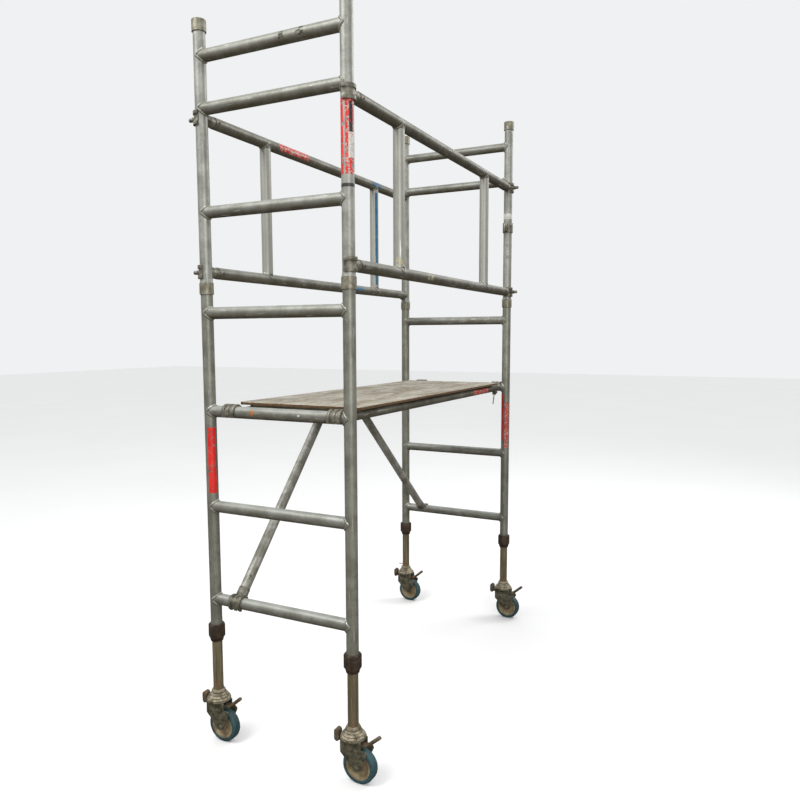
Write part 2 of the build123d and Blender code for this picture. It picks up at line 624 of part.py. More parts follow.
def hub():
    """The wheel's centre: a rim, a dished web and a boss on the axle."""
    half = WHEEL_WIDTH / 2 - 1
    bore = AXLE_R + RUN_FIT
    return turned_wheel([
        (bore, -half - 4), (15, -half - 4), (17, -half + 8), (40, -half + 10), (46, -half), (RIM_R, -half),
        (RIM_R, half), (46, half), (40, half - 10), (17, half - 8), (15, half + 4), (bore, half + 4),
    ])


def tyre():
    """The solid tyre on the rim, rounded at both shoulders of its tread."""
    section = Pos((RIM_R + WHEEL_R) / 2, 0) * Rectangle(WHEEL_R - RIM_R, WHEEL_WIDTH)
    section = fillet(section.vertices().group_by(Axis.X)[-1], TYRE_SHOULDER_R)
    upright = Plane(origin=(0, -WHEEL_TRAIL, WHEEL_R), x_dir=(0, 0, 1), z_dir=(0, 1, 0))
    axle = Axis((0, -WHEEL_TRAIL, WHEEL_R), (1, 0, 0))
    return revolve(upright * section, axle)


def brake():
    """The brake rocker: a cross pin, a shoe above the tyre, a foot lever and an upright release ear."""
    outer = FORK_GAP / 2 + FORK_PLATE + 2
    inner = FORK_GAP / 2 - 2
    z = BRAKE_PIVOT_Z
    body = rod((-outer, 0, z), (outer, 0, z), BRAKE_PIVOT_R)
    body += rod((-inner, 0, z), (inner, 0, z), BRAKE_PIVOT_R + 2)
    body += Pos(0, -26, z - 4) * Box(30, 40, 8)
    body += Pos(0, -50, z) * Box(26, 30, 10)
    body += rod((0, LEVER_FOOT_Y, z), (0, LEVER_FOOT_Y - LEVER_RUN, z + LEVER_RISE), LEVER_R)
    body += Pos(0, 33, z) * Box(20, 60, 8)
    rims = Pos(EAR_Y, EAR_Z[0]) * Circle(EAR_R) + Pos(EAR_Y, EAR_Z[1]) * Circle(EAR_R)
    face = Plane(origin=(-EAR_HALF_WIDTH, 0, 0), x_dir=(0, 1, 0), z_dir=(1, 0, 0))
    return body + extrude(face * make_hull(rims.edges()), 2 * EAR_HALF_WIDTH)


def build_legs():
    """Write the leg, nut and castor of each corner."""
    pieces = {
        "leg": [leg()],
        "leg_nut": [leg_nut()],
        "swivel_head": [swivel_head()],
        "fork": [fork()] + axle_bolt(),
        "wheel_hub": [hub()],
        "tyre": [tyre()],
        "brake": [brake()],
    }
    for end, x in ENDS.items():
        for side, y in SIDES.items():
            for name, solids in pieces.items():
                save(f"{end}_{side}_{name}", [Pos(x, y, 0) * solid for solid in solids])
    save("leg_clamp_rings", [clamp_ring(x, y) for x in ENDS.values() for y in SIDES.values()])


build_end_frames()
save("post_band_clamp", band_clamp())
build_guardrails()
build_platform()
for side in SIDES:
    save(f"{side}_wind_lock", [wind_lock(BEAM_Y[side])])
build_struts()
build_legs()
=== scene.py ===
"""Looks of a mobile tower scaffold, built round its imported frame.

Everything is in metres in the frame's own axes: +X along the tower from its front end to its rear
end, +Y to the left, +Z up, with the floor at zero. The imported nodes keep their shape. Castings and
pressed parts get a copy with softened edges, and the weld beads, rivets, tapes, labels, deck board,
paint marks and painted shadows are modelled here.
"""

import logging
import math
from collections.abc import Callable, Iterator
from contextlib import contextmanager
from dataclasses import dataclass, field
from enum import Enum

import bpy
from mathutils import Matrix, Quaternion, Vector


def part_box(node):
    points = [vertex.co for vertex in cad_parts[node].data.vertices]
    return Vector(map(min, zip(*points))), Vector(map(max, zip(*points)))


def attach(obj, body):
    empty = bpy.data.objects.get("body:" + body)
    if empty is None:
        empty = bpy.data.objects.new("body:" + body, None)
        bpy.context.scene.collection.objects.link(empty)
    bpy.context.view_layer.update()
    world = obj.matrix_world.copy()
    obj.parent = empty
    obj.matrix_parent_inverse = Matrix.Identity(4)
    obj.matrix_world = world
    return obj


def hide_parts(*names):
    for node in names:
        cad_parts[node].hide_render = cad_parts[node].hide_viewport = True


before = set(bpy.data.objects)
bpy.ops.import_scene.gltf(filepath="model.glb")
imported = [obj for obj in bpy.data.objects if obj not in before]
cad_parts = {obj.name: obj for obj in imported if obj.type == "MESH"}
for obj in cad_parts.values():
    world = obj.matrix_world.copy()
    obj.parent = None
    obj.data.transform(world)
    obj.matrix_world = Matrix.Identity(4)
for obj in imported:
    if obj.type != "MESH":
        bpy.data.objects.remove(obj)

LOG = logging.getLogger("tower")
MM = 0.001
Colour = tuple[float, float, float, float]
Point = tuple[float, float, float]


class Run(Enum):
    """The way that a tube runs, which its streaks and scratches follow."""

    ALONG = "X"
    ACROSS = "Y"
    UP = "Z"


class Side(Enum):
    """The two long sides of the tower."""

    LEFT = "left"
    RIGHT = "right"


class End(Enum):
    """The two ladder ends of the tower."""

    FRONT = "front"
    REAR = "rear"


def colour(red: float, green: float, blue: float) -> Colour:
    """Turn a display colour into a linear one.

    Args:
        red: Red from 0 to 255.
        green: Green from 0 to 255.
        blue: Blue from 0 to 255.

    Returns:
        The linear colour with full alpha.
    """
    def linear(value: float) -> float:
        """Return one channel without its display curve."""
        share = value / 255
        return share / 12.92 if share <= 0.04045 else ((share + 0.055) / 1.055) ** 2.4

    return (linear(red), linear(green), linear(blue), 1.0)


# ------------------------------------------------------------------ node trees

class Graph:
    """A shader node tree under construction, with short calls for the nodes that finishes use."""

    def __init__(self, tree: bpy.types.NodeTree) -> None:
        """Start on an empty tree.

        Args:
            tree: The node tree to fill.
        """
        self.tree = tree

    def feed(self, socket: bpy.types.NodeSocket, value: object) -> None:
        """Link a socket into another, or set its constant.

        Args:
            socket: The input to feed.
            value: An output socket, a number, a vector or a colour.
        """
        if isinstance(value, bpy.types.NodeSocket):
            self.tree.links.new(value, socket)
        else:
            socket.default_value = value

    def node(self, kind: str, inputs: dict[object, object] | None = None,
             **settings: object) -> bpy.types.Node:
        """Add one node.

        Args:
            kind: Its type's identifier.
            inputs: What feeds its inputs, by name or number.
            **settings: Its own settings.

        Returns:
            The new node.
        """
        made = self.tree.nodes.new(kind)
        for name, value in settings.items():
            setattr(made, name, value)
        for key, value in (inputs or {}).items():
            self.feed(made.inputs[key], value)
        return made

    def math(self, operation: str, first: object, second: object = 0.0) -> bpy.types.NodeSocket:
        """Return the result of one sum of two values."""
        return self.node("ShaderNodeMath", {0: first, 1: second}, operation=operation).outputs[0]

    def noise(self, place: object, scale: float, detail: float = 4.0,
              roughness: float = 0.55) -> bpy.types.NodeSocket:
        """Return a cloudy value at a place.

        Args:
            place: The coordinates.
            scale: Clouds to the metre.
            detail: How many finer layers lie on top.
            roughness: How strong the finer layers are.

        Returns:
            The value's socket.
        """
        inputs = {"Vector": place, "Scale": scale, "Detail": detail, "Roughness": roughness}
        return self.node("ShaderNodeTexNoise", inputs).outputs["Fac"]

    def ramp(self, value: object, low: float, high: float, start: float = 0.0,
             end: float = 1.0) -> bpy.types.NodeSocket:
        """Map a value smoothly from one range to another.

        Args:
            value: What to map.
            low: Where the range starts.
            high: Where it ends.
            start: The result at its start.
            end: The result at its end.

        Returns:
            The mapped value's socket.
        """
        inputs = {"Value": value, "From Min": low, "From Max": high, "To Min": start, "To Max": end}
        return self.node("ShaderNodeMapRange", inputs, interpolation_type="SMOOTHSTEP").outputs["Result"]

    def mix(self, share: object, first: object, second: object) -> bpy.types.NodeSocket:
        """Return the colour that lies between two colours by a share."""
        made = self.node("ShaderNodeMix", {0: share, 6: first, 7: second}, data_type="RGBA")
        return made.outputs[2]

    def stretched(self, place: object, scale: Point, shift: Point = (0, 0, 0)) -> bpy.types.NodeSocket:
        """Return coordinates moved and then scaled axis by axis."""
        moved = self.node("ShaderNodeVectorMath", {0: place, 1: shift}, operation="ADD").outputs[0]
        return self.node("ShaderNodeVectorMath", {0: moved, 1: scale}, operation="MULTIPLY").outputs[0]

    def axes(self, vector: object) -> list[bpy.types.NodeSocket]:
        """Return a vector's three numbers."""
        return list(self.node("ShaderNodeSeparateXYZ", {0: vector}).outputs)

    def bump(self, height: object, distance: float, strength: float = 0.6) -> bpy.types.NodeSocket:
        """Return the surface's normal, raised by a height in parts of a distance in metres."""
        inputs = {"Height": height, "Distance": distance, "Strength": strength}
        return self.node("ShaderNodeBump", inputs).outputs[0]

    def effect(self, group: bpy.types.NodeTree, inputs: dict[object, object]) -> bpy.types.Node:
        """Place a shared effect in this tree.

        Args:
            group: The effect's node group.
            inputs: What feeds it.

        Returns:
            The group's node.
        """
        made = self.tree.nodes.new("ShaderNodeGroup")
        made.node_tree = group
        for key, value in inputs.items():
            self.feed(made.inputs[key], value)
        return made


def shared(name: str, inputs: dict[str, str], outputs: list[str],
           fill: Callable[[Graph, bpy.types.Node], dict[str, object]]) -> bpy.types.NodeTree:
    """Build a shared effect once.

    Args:
        name: The effect's name.
        inputs: Its inputs' names and socket types.
        outputs: The names of the values that it puts out.
        fill: Fills the tree and returns what feeds each output.

    Returns:
        The node group.
    """
    if name in bpy.data.node_groups:
        return bpy.data.node_groups[name]
    tree = bpy.data.node_groups.new(name, "ShaderNodeTree")
    for label, kind in inputs.items():
        tree.interface.new_socket(label, in_out="INPUT", socket_type=kind)
    for label in outputs:
        tree.interface.new_socket(label, in_out="OUTPUT", socket_type="NodeSocketFloat")
    graph = Graph(tree)
    results = fill(graph, tree.nodes.new("NodeGroupInput"))
    end = tree.nodes.new("NodeGroupOutput")
    for label, value in results.items():
        graph.feed(end.inputs[label], value)
    return tree


def weathering() -> bpy.types.NodeTree:
    """Make the effect of years outdoors on a tube: blotches, streaks, specks and scratches.

    Returns:
        The node group.
    """
    def fill(graph: Graph, start: bpy.types.Node) -> dict[str, object]:
        """Wire the effect.

        Args:
            graph: The effect's graph.
            start: The node that holds its inputs.

        Returns:
            What feeds each output, by name.
        """
        place, along = start.outputs["Place"], start.outputs["Along"]
        blotch = graph.ramp(graph.noise(place, 13, 7, 0.68), 0.34, 0.68)
        streak = graph.ramp(graph.noise(along, 62, 7, 0.7), 0.40, 0.72)
        scratch = graph.ramp(graph.noise(along, 150, 2, 0.5), 0.66, 0.71)
        cells = graph.node("ShaderNodeTexVoronoi", {"Vector": place, "Scale": 130.0}).outputs["Distance"]
        crowd = graph.ramp(graph.noise(place, 6, 3), 0.55, 0.75, 0.0, 0.30)
        specks = graph.ramp(graph.math("SUBTRACT", crowd, cells), 0.0, 0.05)
        grain = graph.noise(place, 700, 2)
        height = graph.math("ADD", graph.math("MULTIPLY", specks, 0.8), graph.math("MULTIPLY", grain, 0.25))
        height = graph.math("SUBTRACT", height, graph.math("MULTIPLY", scratch, 0.5))
        return {"Blotch": blotch, "Streak": streak, "Scratches": scratch, "Specks": specks, "Height": height}

    vector = "NodeSocketVector"
    return shared("weathering", {"Place": vector, "Along": vector},
                  ["Blotch", "Streak", "Scratches", "Specks", "Height"], fill)


def edge_wear() -> bpy.types.NodeTree:
    """Make the effect of knocks on corners: one where an edge is rubbed bare, zero elsewhere.

    Returns:
        The node group.
    """
    def fill(graph: Graph, start: bpy.types.Node) -> dict[str, object]:
        """Wire the effect.

        Args:
            graph: The effect's graph.
            start: The node that holds its inputs.

        Returns:
            What feeds the output, by name.
        """
        rounded = graph.node("ShaderNodeBevel", {"Radius": start.outputs["Radius"]}, samples=4).outputs[0]
        flat = graph.node("ShaderNodeNewGeometry").outputs["Normal"]
        facing = graph.node("ShaderNodeVectorMath", {0: rounded, 1: flat}, operation="DOT_PRODUCT")
        edge = graph.ramp(facing.outputs["Value"], 0.995, 0.90)
        patchy = graph.ramp(graph.noise(start.outputs["Place"], 60, 4, 0.6), 0.35, 0.62)
        return {"Wear": graph.math("MULTIPLY", edge, patchy)}

    return shared("edge wear", {"Place": "NodeSocketVector", "Radius": "NodeSocketFloat"}, ["Wear"], fill)


def rust_bloom() -> bpy.types.NodeTree:
    """Make the effect of rust: where it has broken out, and how dark it is there.

    Returns:
        The node group.
    """
    def fill(graph: Graph, start: bpy.types.Node) -> dict[str, object]:
        """Wire the effect.

        Args:
            graph: The effect's graph.
            start: The node that holds its inputs.

        Returns:
            What feeds each output, by name.
        """
        place = start.outputs["Place"]
        field_value = graph.math("ADD", graph.noise(place, 38, 7, 0.68), start.outputs["Amount"])
        return {"Bloom": graph.ramp(field_value, 0.62, 0.80), "Tone": graph.noise(place, 170, 4, 0.6)}

    inputs = {"Place": "NodeSocketVector", "Amount": "NodeSocketFloat"}
    return shared("rust bloom", inputs, ["Bloom", "Tone"], fill)


class Finish:
    """The common start and end of every finish."""

    def begin(self, name: str) -> tuple[Graph, bpy.types.NodeSocket, bpy.types.Material]:
        """Start a material.

        Args:
            name: The material's name.

        Returns:
            Its graph, the object's own coordinates, and the material.
        """
        material = bpy.data.materials.new(name)
        material.use_nodes = True
        material.node_tree.nodes.clear()
        graph = Graph(material.node_tree)
        place = graph.node("ShaderNodeTexCoord").outputs["Object"]
        return graph, place, material

    def end(self, graph: Graph, varying: dict[str, object], constant: dict[str, object]) -> None:
        """Close a material with its shader.

        Args:
            graph: The material's graph.
            varying: Sockets that feed the shader, by input name.
            constant: Plain values set on the shader's own sockets.
        """
        shader = graph.node("ShaderNodeBsdfPrincipled", {**constant, **varying})
        out = graph.tree.nodes.new("ShaderNodeOutputMaterial")
        graph.feed(out.inputs["Surface"], shader.outputs[0])


@dataclass(frozen=True)
class TubeFinish(Finish):
    """Dull, oxidised aluminium tube with dirty streaks along it, scratches and dried specks, plus painted
    shade on its undersides and a painted highlight on its top.
    """

    name: str
    run: Run
    light: Colour = colour(150, 151, 140)
    dark: Colour = colour(122, 122, 111)
    grime_and_shade: Colour = colour(84, 78, 62)
    bright: Colour = colour(196, 199, 193)
    speck: Colour = colour(186, 184, 172)
    grime_share: float = 0.3
    underside_shade: float = 0.0
    top_highlight: float = 0.0
    lean: float = 0.0
    uprights_between: tuple[float, float] | None = None
    stain_from: float | None = None
    metal: float = 0.5
    roughness: float = 0.48

    def in_uprights(self, graph: Graph, place: bpy.types.NodeSocket) -> bpy.types.NodeSocket:
        """Tell the uprights from the rails that they stand between.

        Args:
            graph: The material's graph.
            place: The object's own coordinates.

        Returns:
            One on the uprights and zero on the rails.
        """
        low, high = self.uprights_between
        height = graph.axes(place)[2]
        return graph.math("MULTIPLY", graph.math("GREATER_THAN", height, low),
                          graph.math("LESS_THAN", height, high))

    def lengthwise(self, graph: Graph, place: bpy.types.NodeSocket) -> bpy.types.NodeSocket:
        """Draw the coordinates out along the tube.

        Args:
            graph: The material's graph.
            place: The object's own coordinates.

        Returns:
            The drawn-out coordinates.
        """
        squeeze = {Run.ALONG: (0.07, 1, 1), Run.ACROSS: (1, 0.07, 1), Run.UP: (1, 1, 0.07)}
        if self.lean:
            turned = {"Vector": place, "Angle": math.radians(self.lean)}
            place = graph.node("ShaderNodeVectorRotate", turned, rotation_type="Y_AXIS").outputs[0]
        along = graph.stretched(place, squeeze[self.run])
        if self.uprights_between is None:
            return along
        turned_up = {0: self.in_uprights(graph, place), 4: along, 5: graph.stretched(place, squeeze[Run.UP])}
        return graph.node("ShaderNodeMix", turned_up, data_type="VECTOR").outputs[1]

    def material(self) -> bpy.types.Material:
        """Build the finish's node tree.

        Returns:
            The material.
        """
        graph, place, material = self.begin(self.name)
        along = self.lengthwise(graph, place)
        worn = graph.effect(weathering(), {"Place": place, "Along": along}).outputs
        tint = graph.mix(worn["Blotch"], self.dark, self.light)
        dirt = graph.math("MULTIPLY", worn["Streak"], self.grime_share)
        upward = graph.axes(graph.node("ShaderNodeNewGeometry").outputs["Normal"])[2]
        patch = graph.ramp(graph.noise(place, 14, 5), 0.3, 0.7, 0.55, 1.0)
        # painted shade: faces turned down are mixed towards the grime colour, standing in for the shade under
        # a tube lit from above
        painted_underside = graph.math("MULTIPLY", graph.ramp(upward, 0.05, -0.75, 0.0, self.underside_shade), patch)
        # painted highlight: faces turned up are mixed towards the bright colour, standing in for light
        # falling on the top
        painted_top_highlight = graph.math("MULTIPLY", graph.ramp(upward, 0.35, 0.95, 0.0, self.top_highlight), patch)
        tint = graph.mix(dirt, tint, self.grime_and_shade)
        if self.stain_from is not None:
            stain = graph.ramp(graph.axes(place)[2], self.stain_from, self.stain_from + 0.08, 0.0, 0.75)
            tint = graph.mix(graph.math("MULTIPLY", stain, patch), tint, self.grime_and_shade)
        tint = graph.mix(painted_top_highlight, tint, self.bright)
        tint = graph.mix(painted_underside, tint, self.grime_and_shade)
        if self.uprights_between is not None:
            # the uprights are mixed 70 percent towards a pale grey, which makes them paler than the rails
            paler_uprights = graph.math("MULTIPLY", self.in_uprights(graph, place), 0.7)
            tint = graph.mix(paler_uprights, tint, colour(184, 184, 176))
        tint = graph.mix(graph.math("MULTIPLY", worn["Scratches"], 0.55), tint, self.bright)
        tint = graph.mix(graph.math("MULTIPLY", worn["Specks"], 0.85), tint, self.speck)
        caked = graph.math("MAXIMUM", worn["Specks"], painted_underside)
        cover = graph.math("MAXIMUM", caked, graph.math("MULTIPLY", dirt, 0.7))
        rough = graph.ramp(cover, 0.0, 1.0, self.roughness, 0.86)
        rough = graph.math("SUBTRACT", rough, graph.math("MULTIPLY", worn["Scratches"], 0.14))
        metal = graph.ramp(cover, 0.0, 1.0, self.metal, 0.04)
        varying = {"Base Color": tint, "Roughness": rough, "Metallic": metal,
                   "Normal": graph.bump(worn["Height"], 0.5 * MM)}
        self.end(graph, varying, {})
        return material


@dataclass(frozen=True)
class CastFinish(Finish):
    """Cast or pressed metal: a grainy skin, grime in patches, rust where it broke out, bare edges."""

    name: str
    light: Colour = colour(142, 141, 130)
    dark: Colour = colour(86, 84, 73)
    edge: Colour = colour(190, 190, 180)
    rust: Colour = colour(116, 66, 38)
    rust_amount: float = -0.2
    metal: float = 0.55
    roughness: float = 0.52
    edge_radius: float = 1.2 * MM
    edge_share: float = 0.8
    grain: float = 0.35 * MM
    top_dust: float = 0.0
    rust_centre: Point | None = None
    rust_reach: float = 0.02

    def material(self) -> bpy.types.Material:
        """Build the finish's node tree.

        Returns:
            The material.
        """
        graph, place, material = self.begin(self.name)
        patch = graph.ramp(graph.noise(place, 42, 6, 0.66), 0.36, 0.64)
        tint = graph.mix(patch, self.dark, self.light)
        amount: object = self.rust_amount
        if self.rust_centre is not None:
            offset = graph.node("ShaderNodeVectorMath", {0: place, 1: self.rust_centre}, operation="DISTANCE")
            near = graph.ramp(offset.outputs["Value"], self.rust_reach, 0.0, 0.0, 0.42)
            amount = graph.math("ADD", near, self.rust_amount)
        rust = graph.effect(rust_bloom(), {"Place": place, "Amount": amount}).outputs
        old = graph.mix(rust["Tone"], tuple(0.45 * share for share in self.rust[:3]) + (1.0,), self.rust)
        tint = graph.mix(rust["Bloom"], tint, old)
        wear = graph.effect(edge_wear(), {"Place": place, "Radius": self.edge_radius}).outputs["Wear"]
        wear = graph.math("MULTIPLY", wear, self.edge_share)
        tint = graph.mix(wear, tint, self.edge)
        upward = graph.axes(graph.node("ShaderNodeNewGeometry").outputs["Normal"])[2]
        dust = graph.math("MULTIPLY", graph.ramp(upward, 0.4, 0.95, 0.0, self.top_dust), patch)
        tint = graph.mix(dust, tint, colour(178, 166, 142))
        dull = graph.math("MAXIMUM", rust["Bloom"], dust)
        rough = graph.ramp(graph.math("ADD", dull, graph.math("MULTIPLY", patch, -0.25)), -0.25, 1.0,
                           self.roughness - 0.06, 0.9)
        metal = graph.ramp(dull, 0.0, 1.0, self.metal, 0.0)
        skin = graph.math("ADD", graph.noise(place, 520, 3), graph.math("MULTIPLY", rust["Bloom"], 0.6))
        varying = {"Base Color": tint, "Roughness": rough, "Metallic": metal,
                   "Normal": graph.bump(skin, self.grain, 0.5)}
        self.end(graph, varying, {})
        return material


@dataclass(frozen=True)
class WeldFinish(Finish):
    """A dull weld bead whose upper side catches the light in bright, uneven spots."""

    name: str = "weld metal"
    dull: Colour = colour(136, 135, 124)
    bright: Colour = colour(226, 228, 221)

    def material(self) -> bpy.types.Material:
        """Build the finish's node tree.

        Returns:
            The material.
        """
        graph, place, material = self.begin(self.name)
        upward = graph.axes(graph.node("ShaderNodeNewGeometry").outputs["Normal"])[2]
        beads = graph.noise(place, 130, 3)
        spots = graph.ramp(graph.noise(place, 55, 4), 0.44, 0.6)
        lit = graph.math("MULTIPLY", graph.ramp(upward, 0.1, 0.8), spots)
        tint = graph.mix(lit, self.dull, self.bright)
        varying = {"Base Color": tint, "Roughness": graph.ramp(beads, 0.3, 0.7, 0.4, 0.62),
                   "Metallic": graph.ramp(lit, 0.0, 1.0, 0.5, 0.3), "Normal": graph.bump(beads, 0.8 * MM)}
        self.end(graph, varying, {})
        return material


@dataclass(frozen=True)
class LegFinish(Finish):
    """Stained fluted leg: olive brown, with paler runs down it and rust creeping up from its foot."""

    name: str
    foot: float
    light: Colour = colour(150, 140, 112)
    dark: Colour = colour(108, 99, 76)
    rust: Colour = colour(112, 74, 44)

    def material(self) -> bpy.types.Material:
        """Build the finish's node tree.

        Returns:
            The material.
        """
        graph, place, material = self.begin(self.name)
        along = graph.stretched(place, (1, 1, 0.05))
        worn = graph.effect(weathering(), {"Place": place, "Along": along}).outputs
        tint = graph.mix(worn["Streak"], self.dark, self.light)
        tint = graph.mix(graph.math("MULTIPLY", worn["Blotch"], 0.4), tint, colour(100, 88, 60))
        height = graph.axes(place)[2]
        creep = graph.ramp(height, self.foot + 0.13, self.foot + 0.01, -0.32, 0.20)
        rust = graph.effect(rust_bloom(), {"Place": place, "Amount": creep}).outputs
        tint = graph.mix(graph.math("MULTIPLY", rust["Bloom"], 0.8), tint, self.rust)
        tint = graph.mix(graph.math("MULTIPLY", worn["Scratches"], 0.5), tint, colour(165, 160, 142))
        rough = graph.ramp(rust["Bloom"], 0.0, 1.0, 0.52, 0.9)
        metal = graph.ramp(rust["Bloom"], 0.0, 1.0, 0.42, 0.0)
        varying = {"Base Color": tint, "Roughness": rough, "Metallic": metal,
                   "Normal": graph.bump(worn["Height"], 0.4 * MM)}
        self.end(graph, varying, {})
        return material


@dataclass(frozen=True)
class WheelFinish(Finish):
    """Moulded wheel material with dust that thickens towards the axle."""

    name: str
    axle: Point
    light: Colour
    dark: Colour
    dust: Colour = colour(150, 138, 112)
    stain: Colour = colour(74, 52, 34)
    stain_reach: float = 0.0
    dust_share: float = 0.45
    roughness: float = 0.62

    def material(self) -> bpy.types.Material:
        """Build the finish's node tree.

        Returns:
            The material.
        """
        graph, place, material = self.begin(self.name)
        patch = graph.ramp(graph.noise(place, 30, 6, 0.65), 0.34, 0.66)
        tint = graph.mix(patch, self.dark, self.light)
        blown = graph.ramp(graph.noise(place, 75, 5, 0.7), 0.44, 0.72, 0.0, self.dust_share)
        tint = graph.mix(blown, tint, self.dust)
        flat = graph.stretched(place, (0, 1, 1), tuple(-share for share in self.axle))
        radius = graph.node("ShaderNodeVectorMath", {0: flat}, operation="LENGTH").outputs["Value"]
        ring = graph.ramp(radius, self.stain_reach, self.stain_reach * 0.35, 0.0, 0.9)
        uneven = graph.ramp(graph.noise(place, 55, 5), 0.3, 0.62)
        tint = graph.mix(graph.math("MULTIPLY", ring, uneven), tint, self.stain)
        rough = graph.ramp(blown, 0.0, 0.5, self.roughness, 0.9)
        skin = graph.math("ADD", graph.noise(place, 600, 3), graph.math("MULTIPLY", blown, 0.8))
        varying = {"Base Color": tint, "Roughness": rough, "Normal": graph.bump(skin, 0.3 * MM, 0.4)}
        self.end(graph, varying, {})
        return material


@dataclass(frozen=True)
class PlywoodFinish(Finish):
    """A weathered board: a grey, footworn face with grain along it, and banded plies at its edges."""

    name: str
    bottom: float
    thickness: float
    ply: float = 2.4 * MM
    face: Colour = colour(181, 176, 162)
    worn: Colour = colour(140, 130, 110)
    dirt: Colour = colour(92, 82, 64)
    pale: Colour = colour(202, 200, 190)
    ply_light: Colour = colour(126, 98, 66)
    ply_dark: Colour = colour(52, 36, 24)
    lip: Colour = colour(206, 196, 166)

    def material(self) -> bpy.types.Material:
        """Build the finish's node tree.

        Returns:
            The material.
        """
        graph, place, material = self.begin(self.name)
        along = graph.stretched(place, (0.06, 1, 1))
        grain = graph.noise(along, 110, 7, 0.68)
        boards = graph.ramp(graph.noise(graph.stretched(place, (0.35, 1, 1)), 9, 6, 0.66), 0.34, 0.64)
        tint = graph.mix(boards, self.worn, self.face)
        tint = graph.mix(graph.ramp(grain, 0.46, 0.66, 0.0, 0.62), tint, self.dirt)
        trodden = graph.noise(graph.stretched(place, (0.4, 1, 1)), 24, 5, 0.7)
        scuffs = graph.ramp(trodden, 0.54, 0.68, 0.0, 0.8)
        tint = graph.mix(scuffs, tint, self.pale)
        spills = graph.ramp(graph.noise(place, 15, 4, 0.6), 0.60, 0.70, 0.0, 0.65)
        tint = graph.mix(spills, tint, self.dirt)
        height = graph.axes(place)[2]
        layer = graph.math("SINE", graph.math("MULTIPLY", graph.math("SUBTRACT", height, self.bottom),
                                              math.pi / self.ply))
        plies = graph.mix(graph.ramp(layer, -0.5, 0.5), self.ply_dark, self.ply_light)
        plies = graph.mix(graph.ramp(graph.noise(along, 60, 5), 0.45, 0.7, 0.0, 0.7), plies, self.ply_dark)
        upward = graph.axes(graph.node("ShaderNodeNewGeometry").outputs["Normal"])[2]
        edge = graph.ramp(graph.math("ABSOLUTE", upward), 0.75, 0.45)
        tint = graph.mix(edge, tint, plies)
        top = self.bottom + self.thickness
        broken = graph.ramp(graph.noise(place, 45, 4), 0.36, 0.5)
        lip = graph.math("MULTIPLY", graph.ramp(height, top - 2.2 * MM, top - 1.2 * MM), edge)
        tint = graph.mix(graph.math("MULTIPLY", lip, broken), tint, self.lip)
        relief = graph.math("ADD", grain, graph.math("MULTIPLY", spills, -0.4))
        varying = {"Base Color": tint, "Roughness": graph.ramp(scuffs, 0.0, 0.8, 0.88, 0.7),
                   "Normal": graph.bump(relief, 0.9 * MM, 0.6)}
        self.end(graph, varying, {})
        return material


@dataclass(frozen=True)
class FilmFinish(Finish):
    """Sticky film or brushed-on paint, worn through in flecks to the tube under it; also dark film as painted
    dent shadow.
    """

    name: str
    film: Colour
    fade: Colour
    second: Colour | None = None
    second_share: float = 0.5
    worn_from: float = 0.60
    worn_to: float = 0.64
    scale: float = 70.0
    patch_scale: float = 26.0
    roughness: float = 0.42

    def material(self) -> bpy.types.Material:
        """Build the finish's node tree.

        Returns:
            The material.
        """
        graph, place, material = self.begin(self.name)
        tint = graph.mix(graph.ramp(graph.noise(place, 24, 4), 0.35, 0.65), self.film, self.fade)
        if self.second is not None:
            parts = graph.ramp(graph.noise(place, self.patch_scale, 3), 0.53, 0.56)
            tint = graph.mix(graph.math("MULTIPLY", parts, self.second_share), tint, self.second)
        fleck = graph.ramp(graph.noise(place, self.scale, 6, 0.62), self.worn_from, self.worn_to)
        grey = graph.ramp(graph.noise(place, 180, 4), 0.5, 0.75, 0.0, 0.35)
        tint = graph.mix(grey, tint, colour(120, 112, 98))
        rough = graph.ramp(fleck, 0.0, 1.0, self.roughness, 0.6)
        height = graph.math("SUBTRACT", graph.math("MULTIPLY", graph.noise(place, 300, 2), 0.3), fleck)
        varying = {"Base Color": tint, "Roughness": rough, "Alpha": graph.ramp(fleck, 0.4, 0.6, 1.0, 0.0),
                   "Normal": graph.bump(height, 0.15 * MM)}
        self.end(graph, varying, {})
        return material


@dataclass(frozen=True)
class FloorFinish(Finish):
    """A pale studio floor with a faint mottle, which throws up little light, as bare ground does."""

    name: str = "studio floor"
    pale: Colour = colour(246, 246, 245)
    paler: Colour = colour(252, 252, 251)
    thrown: Colour = colour(96, 90, 80)

    def material(self) -> bpy.types.Material:
        """Build the finish's node tree.

        Returns:
            The material.
        """
        graph, place, material = self.begin(self.name)
        tint = graph.mix(graph.noise(place, 0.8, 3), self.pale, self.paler)
        seen = graph.node("ShaderNodeLightPath").outputs["Is Camera Ray"]
        self.end(graph, {"Base Color": graph.mix(seen, self.thrown, tint)}, {"Roughness": 0.85})
        return material


# ------------------------------------------------------------------ modelling tools

def select_only(*pieces: bpy.types.Object) -> None:
    """Select these pieces alone and make the first one active.

    Args:
        *pieces: The pieces to select.
    """
    for other in list(bpy.context.selected_objects):
        other.select_set(False)
    for piece in pieces:
        piece.select_set(True)
    bpy.context.view_layer.objects.active = pieces[0]


def pick(piece: bpy.types.Object, test: Callable[[Vector], bool]) -> None:
    """Select the vertices that pass a test, ready for edit mode.

    Args:
        piece: The mesh object, in object mode.
        test: Says of a vertex's place whether it is selected.
    """
    mesh = piece.data
    mesh.polygons.foreach_set("select", [False] * len(mesh.polygons))
    mesh.edges.foreach_set("select", [False] * len(mesh.edges))
    for vertex in mesh.vertices:
        vertex.select = test(vertex.co)


def pick_upright_edges(piece: bpy.types.Object) -> None:
    """Select a box's four upright edges, ready for edit mode.

    Args:
        piece: The box, in object mode.
    """
    pick(piece, lambda place: False)
    for edge in piece.data.edges:
        first, second = (piece.data.vertices[index].co for index in edge.vertices)
        edge.select = (first.xy - second.xy).length < 1e-6


